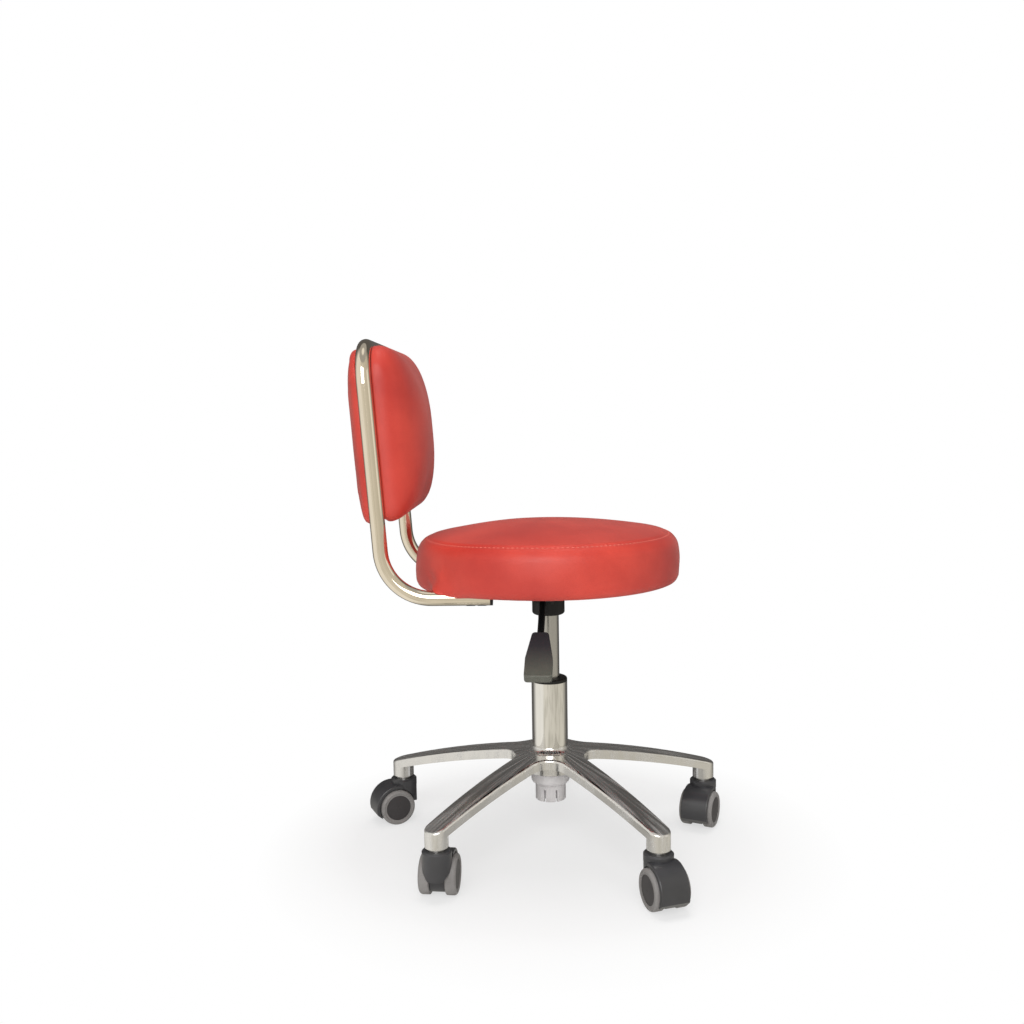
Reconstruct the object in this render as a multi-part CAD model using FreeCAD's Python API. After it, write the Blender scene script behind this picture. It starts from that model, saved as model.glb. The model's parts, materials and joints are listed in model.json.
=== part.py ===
import FreeCAD, Part
import math
import os

# Technician stool: a round seat with a hoop backrest, a gas lift and a star base on five casters.
# Millimetres. The origin is on the floor under the column, +Z is up and the stool faces -Y.

Vector = FreeCAD.Vector
X_AXIS = Vector(1, 0, 0)
Y_AXIS = Vector(0, 1, 0)
Z_AXIS = Vector(0, 0, 1)

# How far the middle of a quarter arc lies in from its corner, as a share of the arc's size
ARC_INSET = 1 - math.sqrt(0.5)

# Clearances
running_clearance = 0.05
fit_clearance = 0.02
slip_clearance = 0.1
face_gap = 0.3
soft_gap = 0.4

# Wheels
wheel_diameter = 50.0
wheel_width = 13.5
tyre_depth = 7.0
tyre_shoulder = 4.0
tyre_face_step = 0.9
tyre_ridge = 0.8
disc_recess = 1.6
disc_dome = 0.8
disc_thickness = 2.4
hub_rim = 2.6
hub_boss_wall = 4.0

# Caster bodies
web_thickness = 19.0
web_margin = 3.5
wheel_side_gap = 0.5
wheel_hood_gap = 1.5
hood_wall = 4.5
hood_front_reach = 8.0
hood_width = 37.5
hood_edge = 1.6
caster_trail = 16.0
neck_diameter = 36.5
chin_drop = 17.0
chin_taper = 11.5
rear_corner_drop = 8.0
rear_cut_deg = 40.0
hood_floor_gap = 9.0
collar_diameter = 37.0
collar_height = 6.5
collar_chamfer = 2.0
axle_diameter = 8.0
axle_reach = 9.0
stem_diameter = 11.0
stem_depth = 17.0
journal_diameter = 9.0
journal_depth = 22.0
journal_end_gap = 1.0
stem_flange_diameter = 22.0
stem_flange_thickness = 3.7

# Star base
arm_count = 5
base_turn_deg = -1.74
arm_length = 228.0
arm_tip_diameter = 29.5
arm_taper_deg = 1.45
vee_fillet = 26.0
tip_boss_height = 19.5
arm_rise = 44.0
arm_bow = 5.5
arm_bow_under = 5.0
arm_edge_round = 3.6
arm_wall = 4.0
arm_skin = 4.5
arm_side_at_hub = 13.0
arm_side_at_tip = 11.5
hub_shoulder_radius = 38.0
hub_collar_wall = 1.2
hub_collar_rise = 6.0
hub_sleeve_wall = 8.5
hub_depth = 29.5
caster_headings_deg = (10.0, 116.0, -5.0, 200.0, 155.0)

# Column and its end cap
column_diameter = 49.0
column_wall = 1.5
column_length = 140.0
column_below_hub = 16.0
guide_length = 70.0
guide_flange_height = 5.0
guide_flange_round = 2.5
cap_collar_wall = 1.9
cap_collar_straight = 11.0
cap_dome_height = 7.5
cap_dome_side_share = 0.25
cap_dome_drop_share = 0.62
cap_ring_diameter = 41.6
cap_ring_wall = 3.0
cap_ring_height = 22.0
cap_floor_thickness = 3.0
cap_cavity_depth = 5.0
cap_core_gap = 2.2
cap_core_inset = 3.0
cap_slot_count = 8
cap_slot_width = 2.4
cap_slot_height = 16.5

# Gas lift
lift_stroke = 75.0
lift_stop_gap = 5.0
lift_showing = 87.5
rod_diameter = 10.0
rod_tail_diameter = 8.0
rod_top_margin = 2.0
washer_inset = 2.0
washer_thickness = 4.0
race_thickness = 2.5
race_diameter = 28.0
ball_diameter = 4.0
ball_circle_diameter = 19.0
ball_count = 10
ball_seat_depth = 0.9
clip_thickness = 1.6
clip_groove_depth = 0.8
clip_diameter = 15.0
clip_mouth = 5.0
rod_tail_end = 3.0
bump_height = 10.0
bump_diameter = 26.0
cylinder_diameter = 28.0
cylinder_wall = 1.5
cylinder_head = 15.0
cylinder_taper = 0.4
rod_guide_inset = 1.0
rod_guide_height = 15.0
piston_gap = 2.0
piston_height = 12.0
release_pin_diameter = 5.0
release_pin_rise = 7.0
release_pin_length = 18.0
release_pin_dome = 0.6

# Seat plate, socket and lever
socket_wall = 5.0
socket_height = 48.5
socket_engagement = 30.5
cover_floor = 2.0
cover_wall = 3.0
cover_height = 29.0
cover_round = 4.0
plate_size = 160.0
plate_corner = 16.0
plate_thickness = 3.0
bolt_square = 136.0
bolt_diameter = 6.0
bolt_head_diameter = 11.0
bolt_head_height = 4.0
bolt_bite = 9.0
pivot_reach = 32.0
pivot_drop = 6.0
lever_offset = 7.0
lever_turn_deg = 3.2
lever_slope_deg = 31.5
lever_rod_diameter = 9.0
lever_rod_length = 105.0
barrel_diameter = 11.0
barrel_length = 20.0
lever_pin_diameter = 5.0
ear_thickness = 4.0
ear_width = 15.5
ear_margin = 7.0
strap_thickness = 6.0
tongue_thickness = 4.0
tongue_width = 10.0
tongue_overhang = 4.0
window_margin = 1.5
paddle_start = 70.0
paddle_length = 78.0
paddle_flare_share = 0.58
paddle_width_start = 21.0
paddle_width_end = 34.5
paddle_thickness_start = 13.0
paddle_thickness_end = 12.0
paddle_corner = 3.5

# Seat
board_diameter = 320.0
board_thickness = 12.0
seat_wrap = 18.0
seat_skirt = 8.0
seat_skirt_width = 8.0
seat_height_at_edge = 70.0
seat_crown = 13.5
seat_bottom_round = 16.0
seat_shoulder_width = 26.0
seat_shoulder_height = 24.0
seat_side_bulge = 1.0

# Back frame, one bent tube
hoop_half_width = 121.0
frame_tube_diameter = 19.0
frame_tube_wall = 1.5
frame_bend_start = 145.1
frame_bend_radius = 63.0
back_lean_deg = 4.0
hoop_rise = 315.0
hoop_corner_radius = 48.0
frame_bolt_inset = 10.5
frame_bolt_spacing = 14.0
frame_bolt_edge_margin = 8.2
plug_cap = 3.0
plug_depth = 4.5
tab_thickness = 3.0
tab_height = 24.0
tab_reach = 22.0
tab_low = 59.1
tab_spacing = 120.0

# Backrest
back_board_thickness = 12.0
back_board_margin = 4.0
back_low = 42.6
back_corner = 40.0
back_edge_overlap = 8.0
front_pad_top_overlap = 11.0
front_pad_thickness = 58.5
front_pad_roll = 8.0
rear_pad_thickness = 20.0
rear_pad_roll = 7.0
pad_rounding_power = 2.1
pad_rounding_insets = (0.02, 0.08, 0.18, 0.32, 0.50, 0.70, 0.86)
pad_corner_share = 0.34
pad_low_corner_share = 0.12
pad_crown_corner_share = 0.62

# Back board screws
screw_diameter = 4.0
screw_head_diameter = 9.0
screw_head_height = 2.5
screw_bite = 10.0

# Heights worked out from the floor up, and places worked out from the seat board
wheel_radius = wheel_diameter / 2
axle_height = wheel_radius
hood_radius = wheel_radius + wheel_hood_gap + hood_wall
hood_top = axle_height + hood_radius
collar_top = hood_top + collar_height
flange_bottom = collar_top + face_gap
tip_boss_bottom = flange_bottom + stem_flange_thickness
arm_tip_top = tip_boss_bottom + tip_boss_height
hub_shoulder_top = arm_tip_top + arm_rise
hub_top = hub_shoulder_top + hub_collar_rise
hub_bottom = hub_shoulder_top - hub_depth
tube_bottom = hub_bottom - column_below_hub
tube_top = tube_bottom + column_length
guide_top = tube_top + guide_flange_height
cover_bottom = guide_top + lift_showing
socket_bottom = cover_bottom + cover_floor
plate_bottom = socket_bottom + socket_height
board_bottom = plate_bottom + plate_thickness
board_top = board_bottom + board_thickness
board_radius = board_diameter / 2
seat_diameter = board_diameter + 2 * seat_wrap
frame_tube_radius = frame_tube_diameter / 2
frame_tube_bore = frame_tube_radius - frame_tube_wall
frame_rear_bolt = math.sqrt(board_radius ** 2 - hoop_half_width ** 2) - frame_bolt_edge_margin
frame_front_bolt = frame_rear_bolt - frame_bolt_spacing
frame_front = frame_front_bolt - frame_bolt_inset
frame_height = board_bottom - slip_clearance - frame_tube_radius
seat_bottom = board_bottom - seat_skirt

washer_bottom = tube_bottom + washer_inset
lower_race_bottom = washer_bottom + washer_thickness
lower_race_top = lower_race_bottom + race_thickness
ball_radius = ball_diameter / 2
ball_height = lower_race_top - ball_seat_depth + ball_radius + running_clearance
upper_race_bottom = ball_height + ball_radius + running_clearance - ball_seat_depth
upper_race_top = upper_race_bottom + race_thickness
bump_top = upper_race_top + bump_height
cylinder_bottom = bump_top + lift_stop_gap + lift_stroke
cylinder_top = socket_bottom + socket_engagement
cylinder_radius = cylinder_diameter / 2
cylinder_bore = cylinder_radius - cylinder_wall
rod_guide_bottom = cylinder_bottom + rod_guide_inset
piston_bottom = rod_guide_bottom + rod_guide_height + piston_gap
piston_top = piston_bottom + piston_height
release_pin_top = cylinder_top + release_pin_rise
pivot_height = cylinder_top - pivot_drop
tongue_bottom = release_pin_top + slip_clearance
socket_radius = cylinder_radius + socket_wall


def rod(radius, start, end):
    """A round bar between two points."""
    along = end - start
    return Part.makeCylinder(radius, along.Length, start, along)


def upright(radius, bottom, top, x=0.0, y=0.0):
    """A vertical round bar."""
    return rod(radius, Vector(x, y, bottom), Vector(x, y, top))


def ring(outer, inner, bottom, top):
    """A round ring about the column."""
    return upright(outer, bottom, top).cut(upright(inner, bottom, top))


def block(x_range, y_range, z_range):
    """A box between three pairs of limits."""
    low = Vector(x_range[0], y_range[0], z_range[0])
    size = Vector(x_range[1], y_range[1], z_range[1]) - low
    return Part.makeBox(size.x, size.y, size.z, low)


def outline(place, start, *moves):
    """A closed face. Each move is the end of a line, or the middle and the end of an arc."""
    edges = []
    here = start
    for move in moves:
        if isinstance(move[0], tuple):
            middle, end = move
            edges.append(Part.Arc(place(here), place(middle), place(end)).toShape())
        else:
            end = move
            edges.append(Part.makeLine(place(here), place(end)))
        here = end
    if here != start:
        edges.append(Part.makeLine(place(here), place(start)))
    return Part.Face(Part.Wire(edges))


def radius_and_height(point):
    """Places an outline's (radius, height) point in the XZ plane."""
    return Vector(point[0], 0, point[1])


def turned(start, *moves):
    """A solid of revolution about the column from a (radius, height) outline."""
    face = outline(radius_and_height, start, *moves)
    return face.revolve(Vector(0, 0, 0), Z_AXIS, 360)


def rounded_rectangle(half_width, low, high, low_corner, corner, depth):
    """A closed wire in the plane at the given depth, with arcs at its lower and its upper corners."""
    def place(point):
        return Vector(point[0], point[1], depth)
    low_bend = low_corner * ARC_INSET
    bend = corner * ARC_INSET
    left = -half_width
    right = half_width
    face = outline(
        place,
        (left + low_corner, low),
        (right - low_corner, low),
        ((right - low_bend, low + low_bend), (right, low + low_corner)),
        (right, high - corner),
        ((right - bend, high - bend), (right - corner, high)),
        (left + corner, high),
        ((left + bend, high - bend), (left, high - corner)),
        (left, low + low_corner),
        ((left + low_bend, low + low_bend), (left + low_corner, low)))
    return face.OuterWire


def moved(shape, turn_deg=0.0, shift=Vector(0, 0, 0)):
    """A copy turned about Z and then shifted."""
    copy = shape.copy()
    copy.rotate(Vector(0, 0, 0), Z_AXIS, turn_deg)
    copy.translate(shift)
    return copy


def dome(radius, edge, rise):
    """The arc of a round dome, from its rim at the edge height to its top on the axis."""
    sphere = (radius ** 2 + rise ** 2) / (2 * rise)
    drop = sphere - math.sqrt(sphere ** 2 - radius ** 2 / 4)
    return ((radius / 2, edge + rise - drop), (0, edge + rise))


def polar(radius, angle_deg, height=0.0):
    """A point at a radius and an angle about the column."""
    angle = math.radians(angle_deg)
    return Vector(radius * math.cos(angle), radius * math.sin(angle), height)


def save(name, shape):
    """Writes one named node."""
    shape.exportStep(os.path.join("parts", name + ".step"))


def arm_angle(index):
    return base_turn_deg + index * 360.0 / arm_count


# Casters, made with the stem on the Z axis and the trail along +X

def axle_spun(start, *moves):
    """A solid of revolution about the axle from a (radius, distance from the web's middle) outline."""
    def place(point):
        return Vector(caster_trail + point[0], point[1], axle_height)
    axle_centre = Vector(caster_trail, 0, axle_height)
    return outline(place, start, *moves).revolve(axle_centre, Y_AXIS, 360)


hub_radius = wheel_radius - tyre_depth
wheel_inner = web_thickness / 2 + wheel_side_gap
wheel_outer = wheel_inner + wheel_width
axle_radius = axle_diameter / 2


def tyre_shape():
    shoulder_start = wheel_outer - tyre_shoulder
    ridge = wheel_radius - tyre_shoulder
    bend = tyre_shoulder * ARC_INSET
    flat = wheel_outer - tyre_face_step
    return axle_spun(
        (hub_radius, wheel_inner),
        (wheel_radius - tyre_ridge, wheel_inner),
        (wheel_radius, wheel_inner + tyre_ridge),
        (wheel_radius, shoulder_start),
        ((wheel_radius - bend, wheel_outer - bend), (ridge, wheel_outer)),
        (ridge - tyre_ridge, flat),
        (hub_radius, flat))


def wheel_hub_shape():
    outer = hub_radius - fit_clearance
    bore = axle_radius + running_clearance
    boss = bore + hub_boss_wall
    edge = wheel_outer - disc_recess
    back = edge - disc_thickness
    bore_end = web_thickness / 2 + axle_reach + face_gap
    return axle_spun(
        (outer, edge),
        dome(outer, edge, disc_dome),
        (0, bore_end),
        (bore, bore_end),
        (bore, wheel_inner),
        (boss, wheel_inner),
        (boss, back),
        (outer - hub_rim, back),
        (outer - hub_rim, wheel_inner),
        (outer, wheel_inner))


def mirrored_across_web(shape):
    return shape.mirror(Vector(0, 0, 0), Y_AXIS)


def axle_bar(radius, half_length):
    start = Vector(caster_trail, -half_length, axle_height)
    end = Vector(caster_trail, half_length, axle_height)
    return rod(radius, start, end)


def hood_shape():
    """Hood, web and collar, in one moulding: an arch over both wheels on a round neck."""
    half_width = hood_width / 2
    half_web = web_thickness / 2
    reach = 2 * hood_radius
    arch = axle_bar(hood_radius, half_width)
    arch = arch.makeFillet(hood_edge, [edge for edge in arch.Edges if edge.Closed])
    arch = arch.cut(block((-reach, caster_trail - hood_front_reach), (-reach, reach), (-reach, reach)))
    arch = arch.cut(block((-reach, caster_trail), (-reach, reach), (-reach, axle_height)))
    arch = arch.cut(block((-reach, 2 * reach), (-reach, reach), (-reach, hood_floor_gap)))
    rear_height = axle_height - rear_corner_drop
    rear_edge = caster_trail + math.sqrt(hood_radius ** 2 - rear_corner_drop ** 2)
    slope = math.tan(math.radians(rear_cut_deg))

    def side(point):
        return Vector(point[0], -reach, point[1])
    rear_wedge = outline(
        side,
        (rear_edge + reach, rear_height + reach * slope),
        (rear_edge + reach, rear_height - reach * slope),
        (rear_edge - reach, rear_height - reach * slope))
    rear_wedge = rear_wedge.extrude(Vector(0, 2 * reach, 0))
    chin_high = hood_top - chin_drop
    chin_low = chin_high - chin_taper
    neck = upright(neck_diameter / 2, chin_low, hood_top)
    for hand in (-1, 1):
        def front(point):
            return Vector(-reach, hand * point[0], point[1])
        chin_wedge = outline(
            front,
            (half_web, chin_low),
            (half_web + reach, chin_low + reach * chin_taper / (neck_diameter / 2 - half_web)),
            (half_web + reach, chin_low))
        neck = neck.cut(chin_wedge.extrude(Vector(2 * reach, 0, 0)))
    collar = upright(collar_diameter / 2, hood_top - hood_wall, collar_top)
    top_rim = [edge for edge in collar.Edges if edge.Closed and edge.CenterOfMass.z > hood_top]
    collar = collar.makeChamfer(collar_chamfer, top_rim)
    body = arch.fuse(neck)
    for hand in (-1, 1):
        start = Vector(caster_trail, hand * half_web, axle_height)
        body = body.cut(rod(wheel_radius + wheel_hood_gap, start, start + Vector(0, hand * reach, 0)))
    body = body.fuse([axle_bar(wheel_radius - web_margin, half_web), collar])
    body = body.cut(rear_wedge)
    journal_end = flange_bottom - journal_depth - journal_end_gap
    journal_bore = upright(journal_diameter / 2 + running_clearance, journal_end, collar_top)
    body = body.cut([journal_bore, axle_bar(axle_radius + fit_clearance, half_width)])
    return body.removeSplitter()


def stem_shape():
    """Stem: a pin in the arm's boss, a flange under it and a journal in the caster's neck."""
    pin = upright(stem_diameter / 2, tip_boss_bottom, tip_boss_bottom + stem_depth)
    flange = upright(stem_flange_diameter / 2, flange_bottom, tip_boss_bottom)
    journal = upright(journal_diameter / 2, flange_bottom - journal_depth, flange_bottom)
    return pin.fuse([flange, journal]).removeSplitter()


def make_casters():
    left_tyre = tyre_shape()
    left_hub = wheel_hub_shape()
    shapes = {
        "hood": hood_shape(),
        "axle": axle_bar(axle_radius, web_thickness / 2 + axle_reach),
        "left_tyre": left_tyre,
        "right_tyre": mirrored_across_web(left_tyre),
        "left_wheel_hub": left_hub,
        "right_wheel_hub": mirrored_across_web(left_hub),
    }
    stem = stem_shape()
    stems = []
    for index in range(arm_count):
        place = polar(arm_length, arm_angle(index))
        for name, shape in shapes.items():
            save("caster_%d_%s" % (index + 1, name), moved(shape, caster_headings_deg[index], place))
        stems.append(moved(stem, 0.0, place))
    save("caster_stems", Part.makeCompound(stems))


# Star base

half_gap = math.radians(180.0 / arm_count)
taper = math.radians(arm_taper_deg)
tip_radius = arm_tip_diameter / 2
arm_end = arm_length + tip_radius
column_radius = column_diameter / 2
vee_centre = (vee_fillet + arm_length * math.sin(taper) + tip_radius) / math.sin(half_gap + taper)


def star_face(inset):
    """The star's plan: straight tapering arms, round tips and round inner corners."""
    tip = tip_radius - inset
    vee = vee_fillet + inset
    tangent = (arm_length + tip * math.sin(taper), tip * math.cos(taper))
    corner = (vee_centre * math.cos(half_gap) - vee * math.sin(taper),
              vee_centre * math.sin(half_gap) - vee * math.cos(taper))
    corner_middle = vee_centre - vee

    def on_arm(index, point, side):
        return moved(Part.Vertex(point[0], side * point[1], 0), arm_angle(index)).Point

    edges = []
    for index in range(arm_count):
        start = on_arm(index, corner, -1)
        tip_start = on_arm(index, tangent, -1)
        tip_middle = on_arm(index, (arm_length + tip, 0), 1)
        tip_end = on_arm(index, tangent, 1)
        end = on_arm(index, corner, 1)
        middle = polar(corner_middle, arm_angle(index) + math.degrees(half_gap))
        edges.append(Part.makeLine(start, tip_start))
        edges.append(Part.Arc(tip_start, tip_middle, tip_end).toShape())
        edges.append(Part.makeLine(tip_end, end))
        edges.append(Part.Arc(end, middle, on_arm(index + 1, corner, -1)).toShape())
    return Part.Face(Part.Wire(edges))


def arm_curve(at_hub, at_tip, bow):
    """A bowed line from the hub's shoulder to past the arm's end: its middle and its end."""
    past = arm_end + tip_radius
    fall = (at_hub - at_tip) / (arm_end - hub_shoulder_radius)
    at_past = at_tip - fall * tip_radius
    middle = ((hub_shoulder_radius + past) / 2, (at_hub + at_past) / 2 + bow)
    return middle, (past, at_past)


def star_slab(inset, drop, bottom_at_hub, bottom_at_tip):
    """The star's plan between its bowed top, lowered by drop, and its bowed underside."""
    top_hub = hub_shoulder_top - drop
    top_middle, top_end = arm_curve(top_hub, arm_tip_top - drop, arm_bow)
    under_middle, under_end = arm_curve(bottom_at_hub, bottom_at_tip, arm_bow_under)
    canopy = turned(
        (0, bottom_at_hub),
        (0, top_hub),
        (hub_shoulder_radius, top_hub),
        (top_middle, top_end),
        under_end,
        (under_middle, (hub_shoulder_radius, bottom_at_hub)))
    low = min(bottom_at_hub, bottom_at_tip)
    plan_block = star_face(inset).extrude(Vector(0, 0, hub_top + arm_rise - low))
    plan_block.translate(Vector(0, 0, low))
    return plan_block.common(canopy)


facing_up = 0.5
facing_sideways = 0.1


def top_edges(star):
    """The edges where the star's top meets its upright sides."""
    found = []
    for edge in star.Edges:
        normals = []
        for face in star.ancestorsOfType(edge, Part.Face):
            u, v = face.Surface.parameter(edge.valueAt(edge.FirstParameter))
            normals.append(face.normalAt(u, v).z)
        if len(normals) == 2 and max(normals) > facing_up and abs(min(normals)) < facing_sideways:
            found.append(edge)
    return found


def star_base_shape():
    side_hub = hub_shoulder_top - arm_side_at_hub
    side_tip = arm_tip_top - arm_side_at_tip
    star = star_slab(0.0, 0.0, side_hub, side_tip)
    star = star.makeFillet(arm_edge_round, top_edges(star))
    hollow = star_slab(arm_wall, arm_skin, side_hub - arm_side_at_hub, side_tip - arm_side_at_hub)
    star = star.cut(hollow)
    collar_radius = column_radius + hub_collar_wall
    sleeve_radius = column_radius + hub_sleeve_wall
    flare_middle = (collar_radius + ARC_INSET * (hub_shoulder_radius - collar_radius),
                    hub_shoulder_top + ARC_INSET * hub_collar_rise)
    hub = turned(
        (0, hub_bottom),
        (sleeve_radius, hub_bottom),
        (sleeve_radius, hub_shoulder_top - arm_skin / 2),
        (hub_shoulder_radius, hub_shoulder_top),
        (flare_middle, (collar_radius, hub_top)),
        (0, hub_top))
    bosses = []
    bores = []
    boss_top = arm_tip_top - arm_edge_round
    for index in range(arm_count):
        place = polar(arm_length, arm_angle(index))
        bosses.append(upright(tip_radius, tip_boss_bottom, boss_top, place.x, place.y))
        bores.append(upright(stem_diameter / 2 + fit_clearance, tip_boss_bottom,
                             tip_boss_bottom + stem_depth + journal_end_gap, place.x, place.y))
    star = star.fuse([hub] + bosses)
    bores.append(upright(column_radius + fit_clearance, hub_bottom, hub_top))
    return star.cut(bores).removeSplitter()


# Column, bearing and gas lift

column_bore = column_radius - column_wall
rod_radius = rod_diameter / 2
tail_radius = rod_tail_diameter / 2


def guide_bush_shape():
    outer = column_bore - slip_clearance
    inner = cylinder_radius + running_clearance
    bend = guide_flange_round * ARC_INSET
    rim = guide_top - guide_flange_round
    return turned(
        (inner, tube_top - guide_length),
        (outer, tube_top - guide_length),
        (outer, tube_top),
        (column_radius, tube_top),
        (column_radius, rim),
        ((column_radius - bend, guide_top - bend), (column_radius - guide_flange_round, guide_top)),
        (inner, guide_top))


def end_cap_shape():
    bore = column_radius + slip_clearance
    collar = bore + cap_collar_wall
    collar_low = hub_bottom - face_gap - cap_collar_straight
    ring_radius = cap_ring_diameter / 2
    ring_inner = ring_radius - cap_ring_wall
    dome_low = collar_low - cap_dome_height
    floor_top = tube_bottom - cap_cavity_depth
    floor_bottom = floor_top - cap_floor_thickness
    ring_bottom = dome_low - cap_ring_height
    dome_middle = (collar - cap_dome_side_share * (collar - ring_radius),
                   collar_low - cap_dome_drop_share * cap_dome_height)
    core = ring_inner - cap_core_gap
    core_bottom = ring_bottom + cap_core_inset
    cap = turned(
        (0, core_bottom),
        (core, core_bottom),
        (core, floor_bottom),
        (ring_inner, floor_bottom),
        (ring_inner, ring_bottom),
        (ring_radius, ring_bottom),
        (ring_radius, dome_low),
        (dome_middle, (collar, collar_low)),
        (collar, hub_bottom - face_gap),
        (bore, hub_bottom - face_gap),
        (bore, tube_bottom),
        (ring_inner, tube_bottom),
        (ring_inner, floor_top),
        (0, floor_top))
    half_slot = cap_slot_width / 2
    slot = block((ring_inner - face_gap, ring_radius + face_gap), (-half_slot, half_slot),
                 (ring_bottom, ring_bottom + cap_slot_height))
    step = 360.0 / cap_slot_count
    return cap.cut([moved(slot, (index + 0.5) * step) for index in range(cap_slot_count)])


def ball_groove():
    return Part.makeTorus(ball_circle_diameter / 2, ball_radius + running_clearance,
                          Vector(0, 0, ball_height))


def race_shape(bottom):
    hole = tail_radius + face_gap
    return ring(race_diameter / 2, hole, bottom, bottom + race_thickness).cut(ball_groove())


def balls_shape():
    step = 360.0 / ball_count
    centres = [polar(ball_circle_diameter / 2, index * step, ball_height) for index in range(ball_count)]
    return Part.makeCompound([Part.makeSphere(ball_radius, centre) for centre in centres])


clip_top = washer_bottom - face_gap
clip_bottom = clip_top - clip_thickness
clip_groove_radius = tail_radius - clip_groove_depth


def piston_rod_shape():
    end = clip_bottom - rod_tail_end
    return turned(
        (0, end),
        (tail_radius, end),
        (tail_radius, clip_bottom - running_clearance),
        (clip_groove_radius, clip_bottom - running_clearance),
        (clip_groove_radius, clip_top + running_clearance),
        (tail_radius, clip_top + running_clearance),
        (tail_radius, upper_race_top),
        (rod_radius, upper_race_top),
        (rod_radius, piston_top + rod_top_margin),
        (0, piston_top + rod_top_margin))


def clip_shape():
    clip = ring(clip_diameter / 2, clip_groove_radius + running_clearance, clip_bottom, clip_top)
    mouth = block((0, clip_diameter), (-clip_mouth / 2, clip_mouth / 2), (clip_bottom, clip_top))
    return clip.cut(mouth)


def gas_cylinder_shape():
    pin_bore = release_pin_diameter / 2 + running_clearance
    chamber_top = cylinder_top - cylinder_head
    return turned(
        (cylinder_bore, cylinder_bottom),
        (cylinder_radius, cylinder_bottom),
        (cylinder_radius, socket_bottom),
        (cylinder_radius - cylinder_taper, cylinder_top),
        (pin_bore, cylinder_top),
        (pin_bore, chamber_top),
        (cylinder_bore, chamber_top))


def release_pin_shape():
    radius = release_pin_diameter / 2
    bottom = release_pin_top - release_pin_length
    edge = release_pin_top - release_pin_dome
    return turned(
        (0, bottom),
        (radius, bottom),
        (radius, edge),
        dome(radius, edge, release_pin_dome))


def make_lift():
    save("column_tube", ring(column_radius, column_bore, tube_bottom, tube_top))
    save("guide_bush", guide_bush_shape())
    save("column_end_cap", end_cap_shape())
    save("bottom_washer", ring(column_bore - fit_clearance, tail_radius + face_gap,
                               washer_bottom, lower_race_bottom))
    save("lower_race", race_shape(lower_race_bottom))
    save("bearing_balls", balls_shape())
    save("upper_race", race_shape(upper_race_bottom))
    save("bump_stop", ring(bump_diameter / 2, rod_radius + fit_clearance, upper_race_top, bump_top))
    save("piston_rod", piston_rod_shape())
    save("piston", ring(cylinder_bore - running_clearance, rod_radius + fit_clearance,
                        piston_bottom, piston_top))
    save("retaining_clip", clip_shape())
    save("gas_cylinder", gas_cylinder_shape())
    save("rod_guide", ring(cylinder_bore - fit_clearance, rod_radius + running_clearance,
                           rod_guide_bottom, rod_guide_bottom + rod_guide_height))
    save("release_pin", release_pin_shape())


# Seat plate, socket cover and lever

barrel_low = lever_offset - barrel_length / 2
barrel_high = lever_offset + barrel_length / 2
ear_inner_low = barrel_low - face_gap
ear_inner_high = barrel_high + face_gap
tongue_low = barrel_low


def pivot_bar(radius, low, high):
    start = Vector(-pivot_reach, low, pivot_height)
    end = Vector(-pivot_reach, high, pivot_height)
    return rod(radius, start, end)


def bolt_places():
    half = bolt_square / 2
    return [(x, y) for x in (-half, half) for y in (-half, half)]


def frame_bolt_places():
    rows = (frame_front_bolt, frame_rear_bolt)
    return [(x, y) for x in (-hoop_half_width, hoop_half_width) for y in rows]


def bolt_holes(bottom, top, places, clearance):
    return [upright(bolt_diameter / 2 + clearance, bottom, top, x, y) for x, y in places]


def seat_plate_shape():
    """Plate, tapered socket and the lever's two ears, welded in one piece."""
    half = plate_size / 2
    wire = rounded_rectangle(half, -half, half, plate_corner, plate_corner, plate_bottom)
    plate = Part.Face(wire).extrude(Vector(0, 0, plate_thickness))
    taper_bottom = cylinder_radius + fit_clearance
    taper_top = taper_bottom - cylinder_taper
    socket = turned(
        (taper_bottom, socket_bottom),
        (socket_radius, socket_bottom),
        (socket_radius, plate_bottom),
        (taper_top, plate_bottom),
        (taper_top, cylinder_top))
    window_y = (tongue_low - window_margin, tongue_low + tongue_width + window_margin)
    window = block((-socket_radius, 0), window_y, (cylinder_top, plate_bottom))
    socket = socket.cut(window)
    ear_x = (-pivot_reach - ear_width / 2, -pivot_reach + ear_width / 2)
    ear_z = (pivot_height - ear_margin, plate_bottom)
    ears = [block(ear_x, (ear_inner_low - ear_thickness, ear_inner_low), ear_z),
            block(ear_x, (ear_inner_high, ear_inner_high + ear_thickness), ear_z)]
    body = plate.fuse([socket] + ears)
    pin_hole = pivot_bar(lever_pin_diameter / 2 + fit_clearance,
                         ear_inner_low - ear_thickness, ear_inner_high + ear_thickness)
    holes = bolt_holes(plate_bottom, board_bottom, bolt_places(), slip_clearance)
    return body.cut([pin_hole] + holes).removeSplitter()


def socket_cover_shape():
    inner = socket_radius + slip_clearance
    outer = inner + cover_wall
    hole = cylinder_radius + face_gap
    bend = cover_round * ARC_INSET
    return turned(
        (hole, cover_bottom),
        (outer - cover_round, cover_bottom),
        ((outer - bend, cover_bottom + bend), (outer, cover_bottom + cover_round)),
        (outer, cover_bottom + cover_height),
        (inner, cover_bottom + cover_height),
        (inner, socket_bottom),
        (hole, socket_bottom))


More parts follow.
